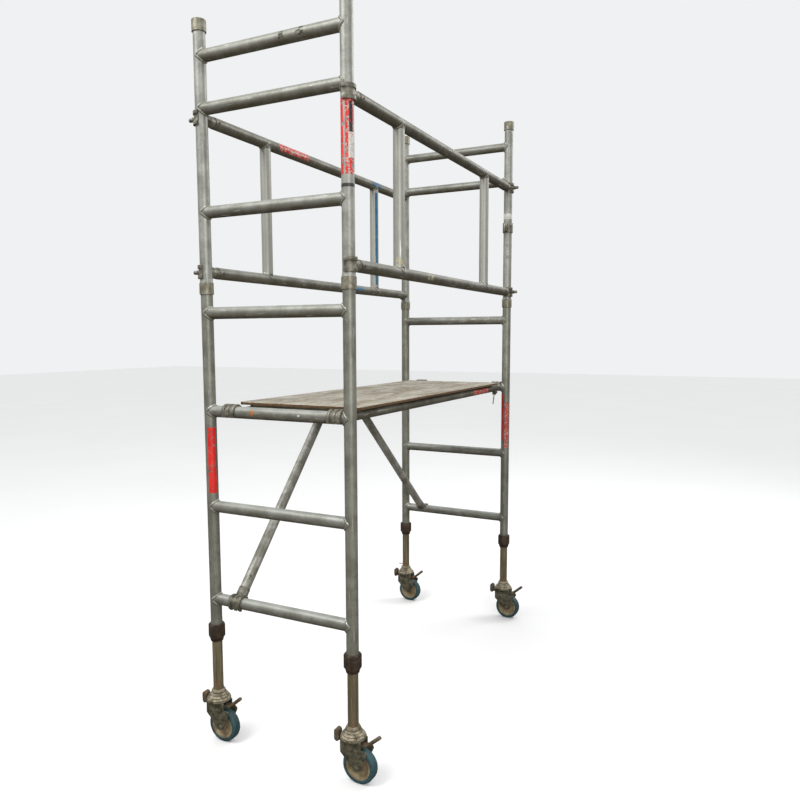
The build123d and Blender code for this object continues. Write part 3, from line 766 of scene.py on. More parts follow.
@contextmanager
def editing(piece: bpy.types.Object, by_edges: bool = False) -> Iterator[None]:
    """Hold a piece in edit mode.

    Args:
        piece: The mesh object to edit.
        by_edges: Whether edges are what is selected, and not vertices.

    Yields:
        Nothing, while the piece is in edit mode.
    """
    select_only(piece)
    bpy.context.tool_settings.mesh_select_mode = (not by_edges, by_edges, False)
    bpy.ops.object.mode_set(mode="EDIT")
    try:
        yield
    finally:
        bpy.ops.object.mode_set(mode="OBJECT")


def settle(piece: bpy.types.Object) -> bpy.types.Object:
    """Put a piece's place into its mesh, so that its object stands at the origin.

    Args:
        piece: The piece, wherever it stands.

    Returns:
        The same piece.
    """
    select_only(piece)
    bpy.ops.object.transform_apply(location=True, rotation=True, scale=True)
    return piece


def bevelled(piece: bpy.types.Object, width: float, segments: int = 2,
             angle: float = 32.0) -> bpy.types.Object:
    """Round a piece's sharp edges.

    Args:
        piece: The mesh object.
        width: The bevel's width in metres.
        segments: How many faces run across the bevel.
        angle: The least turn, in degrees, of an edge that is rounded.

    Returns:
        The same piece.
    """
    select_only(piece)
    bevel = piece.modifiers.new("edges", "BEVEL")
    bevel.width = width
    bevel.segments = segments
    bevel.limit_method = "ANGLE"
    bevel.angle_limit = math.radians(angle)
    bpy.ops.object.modifier_apply(modifier=bevel.name)
    bpy.ops.object.shade_smooth_by_angle(angle=math.radians(36))
    return piece


def duplicate(piece: bpy.types.Object, name: str) -> bpy.types.Object:
    """Copy a piece, with its own mesh.

    Args:
        piece: The piece to copy.
        name: The copy's name.

    Returns:
        The copy.
    """
    copy = piece.copy()
    copy.data = piece.data.copy()
    copy.name = name
    copy.data.name = name
    bpy.context.collection.objects.link(copy)
    return copy


def joined(pieces: list[bpy.types.Object], name: str) -> bpy.types.Object:
    """Join pieces into one mesh.

    Args:
        pieces: The mesh objects.
        name: The joined piece's name.

    Returns:
        The joined piece.
    """
    select_only(*pieces)
    if len(pieces) > 1:
        bpy.ops.object.join()
    pieces[0].name = name
    pieces[0].data.name = name
    return pieces[0]


def placed_copies(master: bpy.types.Object, places: list[Matrix], name: str) -> bpy.types.Object:
    """Copy a master piece to many places, as one mesh.

    Args:
        master: The piece as modelled at the origin.
        places: Where each copy goes.
        name: The joined piece's name.

    Returns:
        The joined piece.
    """
    copies = []
    for number, place in enumerate(places):
        copy = duplicate(master, f"{name}_{number}")
        copy.matrix_world = place
        copies.append(settle(copy))
    return joined(copies, name)


def dress(piece: bpy.types.Object, material: bpy.types.Material) -> bpy.types.Object:
    """Give a piece one material all over.

    Args:
        piece: The piece.
        material: Its material.

    Returns:
        The same piece.
    """
    piece.data.materials.clear()
    piece.data.materials.append(material)
    return piece


def finish_piece(piece: bpy.types.Object, material: bpy.types.Material, body: str, slot: str,
                 *replaced: str) -> bpy.types.Object:
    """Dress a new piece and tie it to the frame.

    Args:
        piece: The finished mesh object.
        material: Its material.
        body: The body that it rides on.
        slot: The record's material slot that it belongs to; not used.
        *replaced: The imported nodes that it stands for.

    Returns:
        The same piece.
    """
    dress(piece, material)
    if replaced:
        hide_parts(*replaced)
    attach(piece, body)
    LOG.info("%s rides on %s", piece.name, body)
    return piece


def dress_node(node: str, material: bpy.types.Material) -> None:
    """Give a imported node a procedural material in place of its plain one."""
    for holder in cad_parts[node].material_slots:
        holder.material = material


def softened(node: str, name: str, width: float) -> bpy.types.Object:
    """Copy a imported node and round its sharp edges, as a casting's or a pressing's are.

    Args:
        node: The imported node.
        name: The new piece's name.
        width: The rounding's width in metres.

    Returns:
        The new piece.
    """
    piece = duplicate(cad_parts[node], name)
    piece.parent = None
    with editing(piece):
        bpy.ops.mesh.select_all(action="SELECT")
        bpy.ops.mesh.customdata_custom_splitnormals_clear()
        bpy.ops.mesh.remove_doubles(threshold=0.01 * MM)
        bpy.ops.mesh.dissolve_limited(angle_limit=math.radians(1.5))
    return bevelled(piece, width)


def middle(node: str) -> Vector:
    """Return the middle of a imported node's box."""
    low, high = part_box(node)
    return (Vector(low) + Vector(high)) / 2


def round_strip(name: str, radius: float, length: float, facing: float, half_angle: float,
                thickness: float = 0.25 * MM) -> bpy.types.Object:
    """Model a curved strip that lies on a tube, round the Z axis at the origin.

    Args:
        name: The strip's name.
        radius: The tube's radius in metres.
        length: The strip's length along the tube in metres.
        facing: The way that its middle faces, in degrees from +X towards +Y.
        half_angle: How far it wraps each way, in degrees.
        thickness: Its thickness in metres.

    Returns:
        The strip.
    """
    bpy.ops.mesh.primitive_cylinder_add(vertices=90, radius=radius, depth=length, end_fill_type="NOTHING")
    piece = bpy.context.active_object
    piece.name = name
    piece.data.name = name
    aim = Vector((math.cos(math.radians(facing)), math.sin(math.radians(facing)), 0))

    def outside(place: Vector) -> bool:
        """Say whether a vertex is beyond the strip's two long edges."""
        return Vector((place.x, place.y, 0)).angle(aim) > math.radians(half_angle)

    if half_angle < 180:
        pick(piece, outside)
        with editing(piece):
            bpy.ops.mesh.delete(type="VERT")
    select_only(piece)
    shell = piece.modifiers.new("thickness", "SOLIDIFY")
    shell.thickness = thickness
    shell.offset = 1
    bpy.ops.object.modifier_apply(modifier=shell.name)
    bpy.ops.object.shade_smooth_by_angle(angle=math.radians(36))
    return piece


def stand_strip(piece: bpy.types.Object, place: Point, run: Run) -> bpy.types.Object:
    """Move a strip from the origin onto its tube.

    Args:
        piece: The strip, modelled round the Z axis.
        place: Where its middle goes.
        run: The way that its tube runs.

    Returns:
        The same strip.
    """
    turn = {Run.UP: Matrix.Identity(4), Run.ALONG: Matrix.Rotation(math.pi / 2, 4, "Y"),
            Run.ACROSS: Matrix.Rotation(-math.pi / 2, 4, "X")}[run]
    piece.matrix_world = Matrix.Translation(place) @ turn
    return settle(piece)


def weld_bead_master(tube_radius: float, bead_radius: float) -> bpy.types.Object:
    """Model the bead where a tube ends on the side of another tube of its own size.

    The ring lies round the Z axis. Its two halves fold up at 45 degrees, so each follows the
    saddle that the tubes make.

    Args:
        tube_radius: Both tubes' radius in metres.
        bead_radius: The bead's own radius in metres.

    Returns:
        The bead.
    """
    bpy.ops.mesh.primitive_torus_add(major_radius=tube_radius, minor_radius=bead_radius,
                                     major_segments=56, minor_segments=8)
    piece = bpy.context.active_object
    fold = math.sqrt(2)
    for sign in (-1, 1):
        pick(piece, lambda place: place.x * sign > 1e-6)
        with editing(piece):
            bpy.ops.transform.rotate(value=sign * math.pi / 4, orient_axis="Y", orient_type="GLOBAL",
                                     center_override=(0, 0, 0))
    if max(vertex.co.z for vertex in piece.data.vertices) < tube_radius / 2:
        piece.scale.z = -1
        settle(piece)
    pick(piece, lambda place: abs(place.x) > 1e-6)
    with editing(piece):
        bpy.ops.transform.resize(value=(fold, 1, fold), center_override=(0, 0, 0))
        bpy.ops.mesh.select_all(action="SELECT")
        bpy.ops.mesh.normals_make_consistent(inside=False)
    select_only(piece)
    bpy.ops.object.shade_smooth_by_angle(angle=math.radians(50))
    return piece


def rivet_master(radius: float, height: float) -> bpy.types.Object:
    """Model a pop rivet that stands on the XY plane: a domed flange with a sunk, dark eye.

    Args:
        radius: The flange's radius in metres.
        height: The flange's height in metres.

    Returns:
        The rivet.
    """
    bpy.ops.mesh.primitive_cylinder_add(vertices=20, radius=radius, depth=height, location=(0, 0, height / 2))
    piece = settle(bpy.context.active_object)
    pick(piece, lambda place: place.z > height / 2)
    with editing(piece):
        bpy.ops.transform.resize(value=(0.72, 0.72, 1), center_override=(0, 0, height))
        bpy.ops.mesh.inset(thickness=radius * 0.22)
        bpy.ops.mesh.extrude_region_move(TRANSFORM_OT_translate={"value": (0, 0, -height * 0.7)})
    select_only(piece)
    bpy.ops.object.shade_smooth_by_angle(angle=math.radians(30))
    return piece


# ------------------------------------------------------------------ the tower's measures

TUBE_R = 24.15 * MM
BEAD_R = 4.0 * MM
FILM_LIFT = 0.1 * MM
TOP_FILM_LIFT = 0.4 * MM
RAIL_Z = (1.990, 2.590)
UPRIGHT_X = (-0.510, 0.510)
FRONT_X, REAR_X = -0.920, 0.920
LOWER_RUNGS = (0.625, 1.025, 1.425, 1.825)
UPPER_RUNGS = {End.FRONT: (2.225, 2.625, 2.825), End.REAR: (2.625, 2.825)}
END_X = {End.FRONT: FRONT_X, End.REAR: REAR_X}
OUT_Y = {Side.LEFT: 1.0, Side.RIGHT: -1.0}


@dataclass(frozen=True)
class Palette:
    """The materials that more than one part wears."""

    lower_post: bpy.types.Material
    upper_post: bpy.types.Material
    rung: bpy.types.Material
    casting: bpy.types.Material
    socket: bpy.types.Material
    beam: bpy.types.Material
    cross_member: bpy.types.Material
    pin: bpy.types.Material
    weld: bpy.types.Material
    painted_shade: bpy.types.Material
    leg: bpy.types.Material
    nut: bpy.types.Material
    head: bpy.types.Material
    brake: bpy.types.Material
    red: bpy.types.Material
    label: bpy.types.Material
    ink: bpy.types.Material
    black: bpy.types.Material
    grey_tape: bpy.types.Material
    worn_red: bpy.types.Material
    blue: bpy.types.Material
    cream: bpy.types.Material
    rust_chip: bpy.types.Material
    dent_shadow: bpy.types.Material


def make_palette() -> Palette:
    """Make the shared materials.

    Returns:
        The palette.
    """
    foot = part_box("front_left_leg")[0][2]
    return Palette(
        lower_post=TubeFinish("lower post", Run.UP).material(),
        upper_post=TubeFinish("upper post", Run.UP, light=colour(174, 175, 168), dark=colour(138, 139, 131),
                              grime_share=0.25).material(),
        rung=TubeFinish("rung", Run.ACROSS, light=colour(148, 149, 142), dark=colour(120, 119, 109),
                        underside_shade=1.0, top_highlight=0.6).material(),
        casting=CastFinish("casting", light=colour(134, 131, 118), dark=colour(84, 80, 68),
                           edge=colour(178, 178, 166), metal=0.45).material(),
        socket=CastFinish("socket collar", light=colour(150, 147, 130), dark=colour(116, 112, 95),
                          rust_amount=-0.35, grain=0.2 * MM).material(),
        beam=TubeFinish("platform beam", Run.ALONG, light=colour(132, 130, 118), dark=colour(92, 89, 76),
                        underside_shade=0.6, grime_share=0.5).material(),
        cross_member=TubeFinish("cross member", Run.ACROSS, light=colour(128, 124, 108),
                                dark=colour(90, 86, 70), underside_shade=0.5).material(),
        pin=CastFinish("dull plated steel", light=colour(142, 140, 130), dark=colour(98, 94, 82),
                       edge=colour(168, 166, 156), rust_amount=-0.2, metal=0.6, roughness=0.46,
                       grain=0.15 * MM).material(),
        weld=WeldFinish().material(),
        # painted shade: dark colour standing in for the shade inside rivet holes, the eyelet and under the
        # socket rims
        painted_shade=CastFinish("painted dark shade", light=colour(58, 52, 42), dark=colour(30, 27, 22),
                             edge=colour(96, 92, 80), rust_amount=-0.1, metal=0.3, roughness=0.7).material(),
        leg=LegFinish("fluted leg", foot).material(),
        nut=CastFinish("iron nut", light=colour(78, 64, 50), dark=colour(48, 36, 28),
                       edge=colour(150, 138, 118), rust=colour(92, 52, 32), rust_amount=0.0, metal=0.35,
                       roughness=0.6, edge_share=0.6).material(),
        head=CastFinish("swivel head", light=colour(156, 147, 124), dark=colour(92, 84, 66),
                        edge=colour(206, 202, 188), rust_amount=-0.12, metal=0.45, top_dust=0.7,
                        edge_share=0.9).material(),
        brake=CastFinish("rusty lever", light=colour(112, 100, 80), dark=colour(70, 60, 46),
                         rust=colour(158, 84, 38), rust_amount=0.08, metal=0.35, roughness=0.66,
                         edge_share=0.4).material(),
        red=FilmFinish("red tape", colour(240, 38, 32), colour(212, 32, 26), worn_from=0.57,
                       worn_to=0.60).material(),
        label=FilmFinish("pale label", colour(224, 224, 216), colour(190, 188, 178)).material(),
        ink=FilmFinish("dark label block", colour(32, 36, 50), colour(24, 26, 36)).material(),
        black=FilmFinish("black band", colour(30, 30, 28), colour(46, 44, 40), worn_from=0.7,
                         worn_to=0.74).material(),
        grey_tape=FilmFinish("grey tape", colour(164, 164, 156), colour(140, 140, 132), worn_from=0.68,
                             worn_to=0.72).material(),
        blue=FilmFinish("blue paint", colour(34, 96, 134), colour(58, 118, 150), worn_from=0.60,
                        worn_to=0.66, scale=48.0).material(),
        worn_red=FilmFinish("worn red label", colour(232, 40, 34), colour(206, 38, 32),
                            second=colour(196, 188, 176), second_share=0.8, worn_from=0.54, worn_to=0.57,
                            scale=90.0, patch_scale=110.0).material(),
        cream=FilmFinish("cream paint", colour(214, 204, 160), colour(196, 184, 140), worn_from=0.46,
                         worn_to=0.5, scale=60.0).material(),
        rust_chip=FilmFinish("rust chip", colour(196, 116, 44), colour(150, 84, 34), worn_from=0.48,
                             worn_to=0.52, scale=110.0).material(),
        # painted shadow: dark film standing in for the shade in two dents of the top front rung
        dent_shadow=FilmFinish("painted dent shadow", colour(52, 48, 42), colour(74, 70, 62), worn_from=0.44, worn_to=0.52,
                         scale=80.0, roughness=0.8).material(),
    )


def weld_places(crossings: list[tuple[Vector, Vector, Vector]]) -> list[Matrix]:
    """Work out where weld beads go.

    Args:
        crossings: For each bead, where the two axes cross, which way the ending tube leaves, and which
            way the other tube runs.

    Returns:
        A placing for each bead.
    """
    places = []
    for where, leaving, through in crossings:
        turn = Matrix((through, leaving.cross(through), leaving)).transposed()
        places.append(Matrix.Translation(where) @ turn.to_4x4())
    return places


# ------------------------------------------------------------------ sub-assemblies

@dataclass
class EndFrame:
    """One ladder end: its posts, rungs, sockets, weld beads and what is stuck on its posts."""

    end: End
    palette: Palette
    post_ys: dict[Side, float]

    def build(self) -> None:
        """Dress the end's nodes and add its weld beads."""
        name = self.end.value
        dress_node(f"{name}_lower_posts", self.palette.lower_post)
        dress_node(f"{name}_upper_posts", self.palette.upper_post)
        dress_node(f"{name}_lower_rungs", self.palette.rung)
        dress_node(f"{name}_upper_rungs", self.palette.rung)
        self.welds("lower", LOWER_RUNGS)
        self.welds("upper", UPPER_RUNGS[self.end])

    def welds(self, level: str, heights: tuple[float, ...]) -> None:
        """Add the beads at both ends of each rung.

        Args:
            level: Which of the end's two frames.
            heights: Its rungs' heights in metres.
        """
        crossings = []
        for height in heights:
            for side, post_y in self.post_ys.items():
                where = Vector((END_X[self.end], post_y, height))
                crossings.append((where, Vector((0, -OUT_Y[side], 0)), Vector((0, 0, 1))))
        master = weld_bead_master(TUBE_R, BEAD_R)
        piece = placed_copies(master, weld_places(crossings), f"{self.end.value}_{level}_rung_welds")
        bpy.data.objects.remove(master)
        finish_piece(piece, self.palette.weld, "tower", "rung_tube")

    def post_strip(self, name: str, side: Side, span: tuple[float, float], half_angle: float,
                   material: bpy.types.Material, facing: float = 212.0, lift: float = FILM_LIFT) -> None:
        """Stick one strip of film on a post.

        Args:
            name: The piece's name.
            side: Which post.
            span: Its lower and upper edges' heights in metres.
            half_angle: How far it wraps each way, in degrees.
            material: Its material.
            facing: The way that its middle faces, in degrees.
            lift: How far it stands off the tube in metres.
        """
        low, high = span
        strip = round_strip(name, TUBE_R + lift, high - low, facing, half_angle)
        stand_strip(strip, (END_X[self.end], self.post_ys[side], (low + high) / 2), Run.UP)
        finish_piece(strip, material, "tower", "frame_tube")


@dataclass
class Guardrail:
    """One side's guardrail: its frame, jaws, pins, weld beads, rivets and paint marks."""

    side: Side
    palette: Palette
    post_y: float
    rivet_radius: float = 4.6 * MM
    rivet_height: float = 1.6 * MM
    rivet_inset: float = 80 * MM
    rivet_sink: float = 0.4 * MM

    def build(self) -> None:
        """Dress the guardrail's nodes and add its small pieces."""
        side = self.side.value
        dark_top = self.side is Side.LEFT
        light, dark = ((136, 135, 125), (98, 96, 86)) if dark_top else ((120, 119, 109), (82, 80, 70))
        finish = TubeFinish(f"{side} guardrail", Run.ALONG, light=colour(*light), dark=colour(*dark),
                            uprights_between=(RAIL_Z[0] + TUBE_R, RAIL_Z[1] - TUBE_R), underside_shade=0.8,
                            top_highlight=0.5, grime_share=0.45)
        dress_node(f"{side}_guardrail_frame", finish.material())
        jaws = softened(f"{side}_guardrail_jaws", f"{side}_jaw_castings", 1.1 * MM)
        finish_piece(jaws, self.palette.casting, "tower", "casting", f"{side}_guardrail_jaws")
        for level in ("lower", "upper"):
            dress_node(f"{side}_{level}_lock_pin", self.palette.pin)
        dress_node(f"{side}_wind_lock", self.palette.pin)
        self.welds()
        self.rivets()

    def welds(self) -> None:
        """Add the beads where the uprights meet the rails."""
        crossings = []
        for upright in UPRIGHT_X:
            for rail, way in zip(RAIL_Z, (1, -1)):
                where = Vector((upright, self.post_y, rail))
                crossings.append((where, Vector((0, 0, way)), Vector((1, 0, 0))))
        master = weld_bead_master(TUBE_R, BEAD_R)
        piece = placed_copies(master, weld_places(crossings), f"{self.side.value}_guardrail_welds")
        bpy.data.objects.remove(master)
        finish_piece(piece, self.palette.weld, "tower", "frame_tube")

    def rivets(self) -> None:
        """Add the rivets that hold each rail on its jaws' spigots."""
        places = []
        out = TUBE_R - self.rivet_sink
        for rail in RAIL_Z:
            for rivet_x in (FRONT_X + self.rivet_inset, REAR_X - self.rivet_inset):
                for face in (1, -1):
                    where = Vector((rivet_x, self.post_y + face * out, rail))
                    places.append(Matrix.Translation(where) @ Matrix.Rotation(-face * math.pi / 2, 4, "X"))
        master = rivet_master(self.rivet_radius, self.rivet_height)
        piece = placed_copies(master, places, f"{self.side.value}_guardrail_rivets")
        bpy.data.objects.remove(master)
        # the rivets wear the painted shade, dark as the shade inside their holes
        finish_piece(piece, self.palette.painted_shade, "tower", "pin_steel")

    def rail_strip(self, name: str, span: tuple[float, float], rail: float, facing: float,
                   half_angle: float, material: bpy.types.Material) -> None:
        """Stick a label or brush paint on a rail.

        Args:
            name: The piece's name.
            span: Where it starts and ends along the rail, in metres.
            rail: The rail's height in metres.
            facing: The way that its middle faces: 180 is up and 270 is to the right.
            half_angle: How far it wraps each way, in degrees.
            material: Its material.
        """
        strip = round_strip(name, TUBE_R + FILM_LIFT, span[1] - span[0], facing, half_angle)
        stand_strip(strip, ((span[0] + span[1]) / 2, self.post_y, rail), Run.ALONG)
        finish_piece(strip, material, "tower", "frame_tube")

    def upright_strip(self, name: str, upright: float, span: tuple[float, float], facing: float,
                      half_angle: float, material: bpy.types.Material) -> None:
        """Brush paint on an upright.

        Args:
            name: The piece's name.
            upright: Which upright, by where it stands along the tower.
            span: Its lowest and highest point in metres.
            facing: The way that its middle faces, in degrees.
            half_angle: How far it wraps each way, in degrees.
            material: Its material.
        """
        strip = round_strip(name, TUBE_R + FILM_LIFT, span[1] - span[0], facing, half_angle)
        stand_strip(strip, (upright, self.post_y, (span[0] + span[1]) / 2), Run.UP)
        finish_piece(strip, material, "tower", "frame_tube")


@dataclass
class Platform:
    """The work platform: deck board, beams, cross members, hooks and screws."""

    palette: Palette
    corner_radius: float = 8 * MM
    edge_radius: float = 1.2 * MM
    screw_radius: float = 6 * MM
    screw_height: float = 0.7 * MM
    screw_rows: tuple[float, ...] = (-0.790, -0.395, 0.0, 0.395, 0.790)
    screw_files: tuple[float, ...] = (-0.220, -0.080, 0.080, 0.220)
    label_length: float = 0.230
    label_x: float = 0.595

    def build(self) -> None:
        """Dress the platform's nodes and model its board."""
        dress_node("platform_side_beams", self.palette.beam)
        dress_node("platform_cross_members", self.palette.cross_member)
        hooks = softened("platform_hooks", "platform_hook_castings", 1.2 * MM)
        finish_piece(hooks, self.palette.casting, "tower", "casting", "platform_hooks")
        self.board()
        self.screws()
        self.beam_label()

    def board(self) -> None:
        """Model the plywood board with rounded corners and eased edges."""
        low, high = (Vector(corner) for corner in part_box("platform_deck"))
        bpy.ops.mesh.primitive_cube_add(size=1, location=(low + high) / 2)
        piece = bpy.context.active_object
        piece.scale = high - low
        settle(piece)
        piece.name = "platform_board"
        pick_upright_edges(piece)
        with editing(piece, by_edges=True):
            bpy.ops.mesh.bevel(offset=self.corner_radius, segments=5)
        bevelled(piece, self.edge_radius, 3, 40)
        finish = PlywoodFinish("weathered plywood", low.z, high.z - low.z)
        finish_piece(piece, finish.material(), "tower", "deck_board", "platform_deck")

    def screws(self) -> None:
        """Set the screw heads into the board, a hair above it."""
        low, high = (Vector(corner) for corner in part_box("platform_deck"))
        across = (low.y + high.y) / 2
        places = [Matrix.Translation((x, across + y, high.z - 0.2 * MM))
                  for x in self.screw_rows for y in self.screw_files]
        master = rivet_master(self.screw_radius, self.screw_height)
        piece = placed_copies(master, places, "deck_screw_heads")
        bpy.data.objects.remove(master)
        finish_piece(piece, self.palette.pin, "tower", "pin_steel", "deck_screws")

    def beam_label(self) -> None:
        """Stick the worn label on the right beam's outer face."""
        low, high = (Vector(corner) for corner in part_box("platform_side_beams"))
        radius = (high.z - low.z) / 2
        strip = round_strip("beam_label", radius + FILM_LIFT, self.label_length, 270, 42)
        stand_strip(strip, (self.label_x, low.y + radius, (low.z + high.z) / 2), Run.ALONG)
        finish_piece(strip, self.palette.worn_red, "tower", "frame_tube")


@dataclass
class Strut:
    """One diagonal strut with its claw."""

    end: End
    palette: Palette
    slope: float = 45.6

    def build(self) -> None:
        """Dress the strut's tube and soften its claw."""
        name = self.end.value
        lean = -self.slope if self.end is End.FRONT else self.slope
        finish = TubeFinish(f"{name} strut", Run.UP, light=colour(200, 200, 192), dark=colour(134, 132, 120),
                            lean=lean, grime_share=0.55, stain_from=1.24)
        dress_node(f"{name}_strut", finish.material())
        claw = softened(f"{name}_strut_claw", f"{name}_claw_casting", 1.1 * MM)
        finish_piece(claw, self.palette.casting, f"{name}_strut", "casting", f"{name}_strut_claw")


@dataclass
class Castor:
    """One corner's screw leg, height nut, swivel head, fork, wheel and brake."""

    end: End
    side: Side
    palette: Palette
    corner: str = field(init=False)

    def __post_init__(self) -> None:
        """Work out the corner's name."""
        self.corner = f"{self.end.value}_{self.side.value}"

    def build(self) -> None:
        """Dress and soften the corner's pieces."""
        corner = self.corner
        dress_node(f"{corner}_leg", self.palette.leg)
        dress_node(f"{corner}_swivel_head", self.palette.head)
        nut = softened(f"{corner}_leg_nut", f"{corner}_hexagon_nut", 1.6 * MM)
        finish_piece(nut, self.palette.nut, f"{corner}_leg_nut", "nut", f"{corner}_leg_nut")
        axle = tuple(middle(f"{corner}_tyre"))
        fork_finish = CastFinish(f"{corner} fork", light=colour(112, 108, 90), dark=colour(66, 64, 52),
                                 edge=colour(150, 146, 128), rust=colour(106, 66, 50), rust_amount=-0.14,
                                 metal=0.4, rust_centre=(axle[0] - 31 * MM, axle[1], axle[2]),
                                 rust_reach=26 * MM, top_dust=0.5)
        fork = softened(f"{corner}_fork", f"{corner}_pressed_fork", 0.9 * MM)
        finish_piece(fork, fork_finish.material(), f"{corner}_swivel", "castor_steel", f"{corner}_fork")
        brake = softened(f"{corner}_brake", f"{corner}_brake_lever", 0.9 * MM)
        finish_piece(brake, self.palette.brake, f"{corner}_brake", "brake_steel", f"{corner}_brake")
        hub = WheelFinish(f"{corner} hub", axle, colour(156, 140, 108), colour(112, 96, 68),
                          stain_reach=30 * MM, dust_share=0.5)
        dress_node(f"{corner}_wheel_hub", hub.material())
        tyre = WheelFinish(f"{corner} tyre", axle, colour(44, 84, 90), colour(30, 56, 60),
                           dust=colour(104, 104, 88), dust_share=0.3)
        dress_node(f"{corner}_tyre", tyre.material())


@dataclass(frozen=True)
class Studio:
    """The pale room, its lights and the camera."""

    camera_place: Point = (-3.1962, -1.6558, 1.7268)
    yaw: float = 26.506
    pitch: float = 5.922
    roll: float = 0.152
    lens: float = 32.10
    shift_y: float = 0.0138

    def build(self) -> None:
        """Set up the floor, the lights, the air and the camera."""
        bpy.context.scene.view_settings.view_transform = "Standard"
        self.floor()
        self.air()
        self.lamp("key softbox", (-3.6, 1.6, 5.4), 1.3, 2.4, 150)
        self.lamp("fill softbox", (-4.4, -4.2, 2.4), 1.2, 2.4, 120)
        self.lamp("back softbox", (3.8, -2.6, 4.8), 1.6, 2.2, 90)
        self.camera()

    def floor(self) -> None:
        """Lay the floor."""
        bpy.ops.mesh.primitive_plane_add(size=60, location=(0, 0, 0))
        piece = settle(bpy.context.active_object)
        piece.name = "studio_floor"
        dress(piece, FloorFinish().material())

    def air(self) -> None:
        """Light the room evenly from above, a little less from below."""
        world = bpy.data.worlds.new("studio air")
        bpy.context.scene.world = world
        world.use_nodes = True
        world.node_tree.nodes.clear()
        graph = Graph(world.node_tree)
        aim = graph.node("ShaderNodeTexCoord").outputs["Generated"]
        height = graph.axes(aim)[2]
        sky = graph.mix(graph.ramp(height, -0.18, 0.42), colour(88, 85, 80), colour(240, 241, 242))
        seen = graph.node("ShaderNodeLightPath").outputs["Is Camera Ray"]
        tint = graph.mix(seen, sky, colour(240, 241, 242))
        shader = graph.node("ShaderNodeBackground", {"Color": tint, "Strength": 1.0})
        out = graph.tree.nodes.new("ShaderNodeOutputWorld")
        graph.feed(out.inputs["Surface"], shader.outputs[0])

    def lamp(self, name: str, place: Point, aim: float, size: float, power: float) -> None:
        """Hang one soft lamp that points at the tower's middle.

        Args:
            name: The lamp's name.
            place: Where it hangs.
            aim: The height that it points at, in metres.
            size: Its side's length in metres.
            power: Its power in watts.
        """
        light = bpy.data.lights.new(name, "AREA")
        light.size = size
        light.energy = power
        holder = bpy.data.objects.new(name, light)
        bpy.context.collection.objects.link(holder)
        holder.location = place
        holder.rotation_euler = (Vector((0, 0, aim)) - Vector(place)).to_track_quat("-Z", "Y").to_euler()

    def camera(self) -> None:
        """Set the camera at its post."""
        data = bpy.data.cameras.new("camera")
        data.lens = self.lens
        data.sensor_width = 36
        data.shift_y = self.shift_y
        data.clip_end = 200
        holder = bpy.data.objects.new("camera", data)
        bpy.context.collection.objects.link(holder)
        holder.location = self.camera_place
        yaw, pitch = math.radians(self.yaw), math.radians(self.pitch)
        level_reach = math.cos(pitch)
        forward = Vector((math.cos(yaw) * level_reach, math.sin(yaw) * level_reach, -math.sin(pitch)))
        level = Quaternion(forward, math.radians(self.roll))
        right = level @ forward.cross(Vector((0, 0, 1))).normalized()
        up = right.cross(forward)
        holder.rotation_euler = Matrix((right, up, -forward)).transposed().to_euler()
        bpy.context.scene.camera = holder


# ------------------------------------------------------------------ marks and small fittings

PIN_REACH = 37 * MM
PIN_R = 2.5 * MM
PIN_ABOVE_FOOT = 10 * MM
STRUT_SIDEWAYS = 0.05
STRUT_FOOT = Vector((15 * MM, 22 * MM, 16 * MM))
EYELET_FACING = Vector((-0.62, -0.70, 0.36))
EYELET_UP = 52 * MM
EYELET_OUT = 21.6 * MM


def stick_films(frames: dict[End, EndFrame], rails: dict[Side, Guardrail], palette: Palette) -> None:
    """Stick the tapes and labels on, and brush the paint marks.

    Args:
        frames: The two ladder ends.
        rails: The two guardrails.
        palette: The shared materials.
    """
    front, rear = frames[End.FRONT], frames[End.REAR]
    front.post_strip("front_left_red_tape", Side.LEFT, (1.084, 1.358), 41, palette.red, 226)
    rear.post_strip("rear_right_red_tape", Side.RIGHT, (1.104, 1.384), 28, palette.red, 136)
    rear.post_strip("rear_right_label", Side.RIGHT, (1.060, 1.335), 32, palette.worn_red, 217)
    front.post_strip("front_right_label_edge", Side.RIGHT, (2.306, 2.572), 26, palette.red, 146)
    front.post_strip("front_right_label", Side.RIGHT, (2.306, 2.572), 45, palette.worn_red, 231)
    front.post_strip("front_right_label_dark", Side.RIGHT, (2.451, 2.556), 20, palette.ink, 242,
                     TOP_FILM_LIFT)
    front.post_strip("front_right_label_pale", Side.RIGHT, (2.362, 2.451), 29, palette.label, 244,
                     TOP_FILM_LIFT)
    front.post_strip("front_right_black_band", Side.RIGHT, (2.262, 2.274), 180, palette.black)
    rear.post_strip("rear_right_pale_band", Side.RIGHT, (2.410, 2.442), 180, palette.label)
    rear.post_strip("rear_right_upper_grey_tape", Side.RIGHT, (2.250, 2.268), 180, palette.grey_tape)
    rear.post_strip("rear_right_lower_grey_tape", Side.RIGHT, (2.184, 2.202), 180, palette.grey_tape)
    left, right = rails[Side.LEFT], rails[Side.RIGHT]
    left.rail_strip("left_top_rail_label", (-0.430, -0.190), RAIL_Z[1], 262, 44, palette.worn_red)
    left.upright_strip("left_upright_blue_stripe", UPRIGHT_X[1], (2.03, 2.55), 241, 21, palette.blue)
    left.rail_strip("left_top_rail_blue_smear", (0.46, 0.55), RAIL_Z[1], 262, 40, palette.blue)
    left.rail_strip("left_lower_rail_blue_smear", (0.18, 0.34), RAIL_Z[0], 258, 26, palette.blue)
    right.upright_strip("right_upright_splash", UPRIGHT_X[0], (2.018, 2.050), 225, 50, palette.cream)
    right.rail_strip("right_lower_rail_splash", (-0.27, -0.20), RAIL_Z[0], 262, 30, palette.cream)


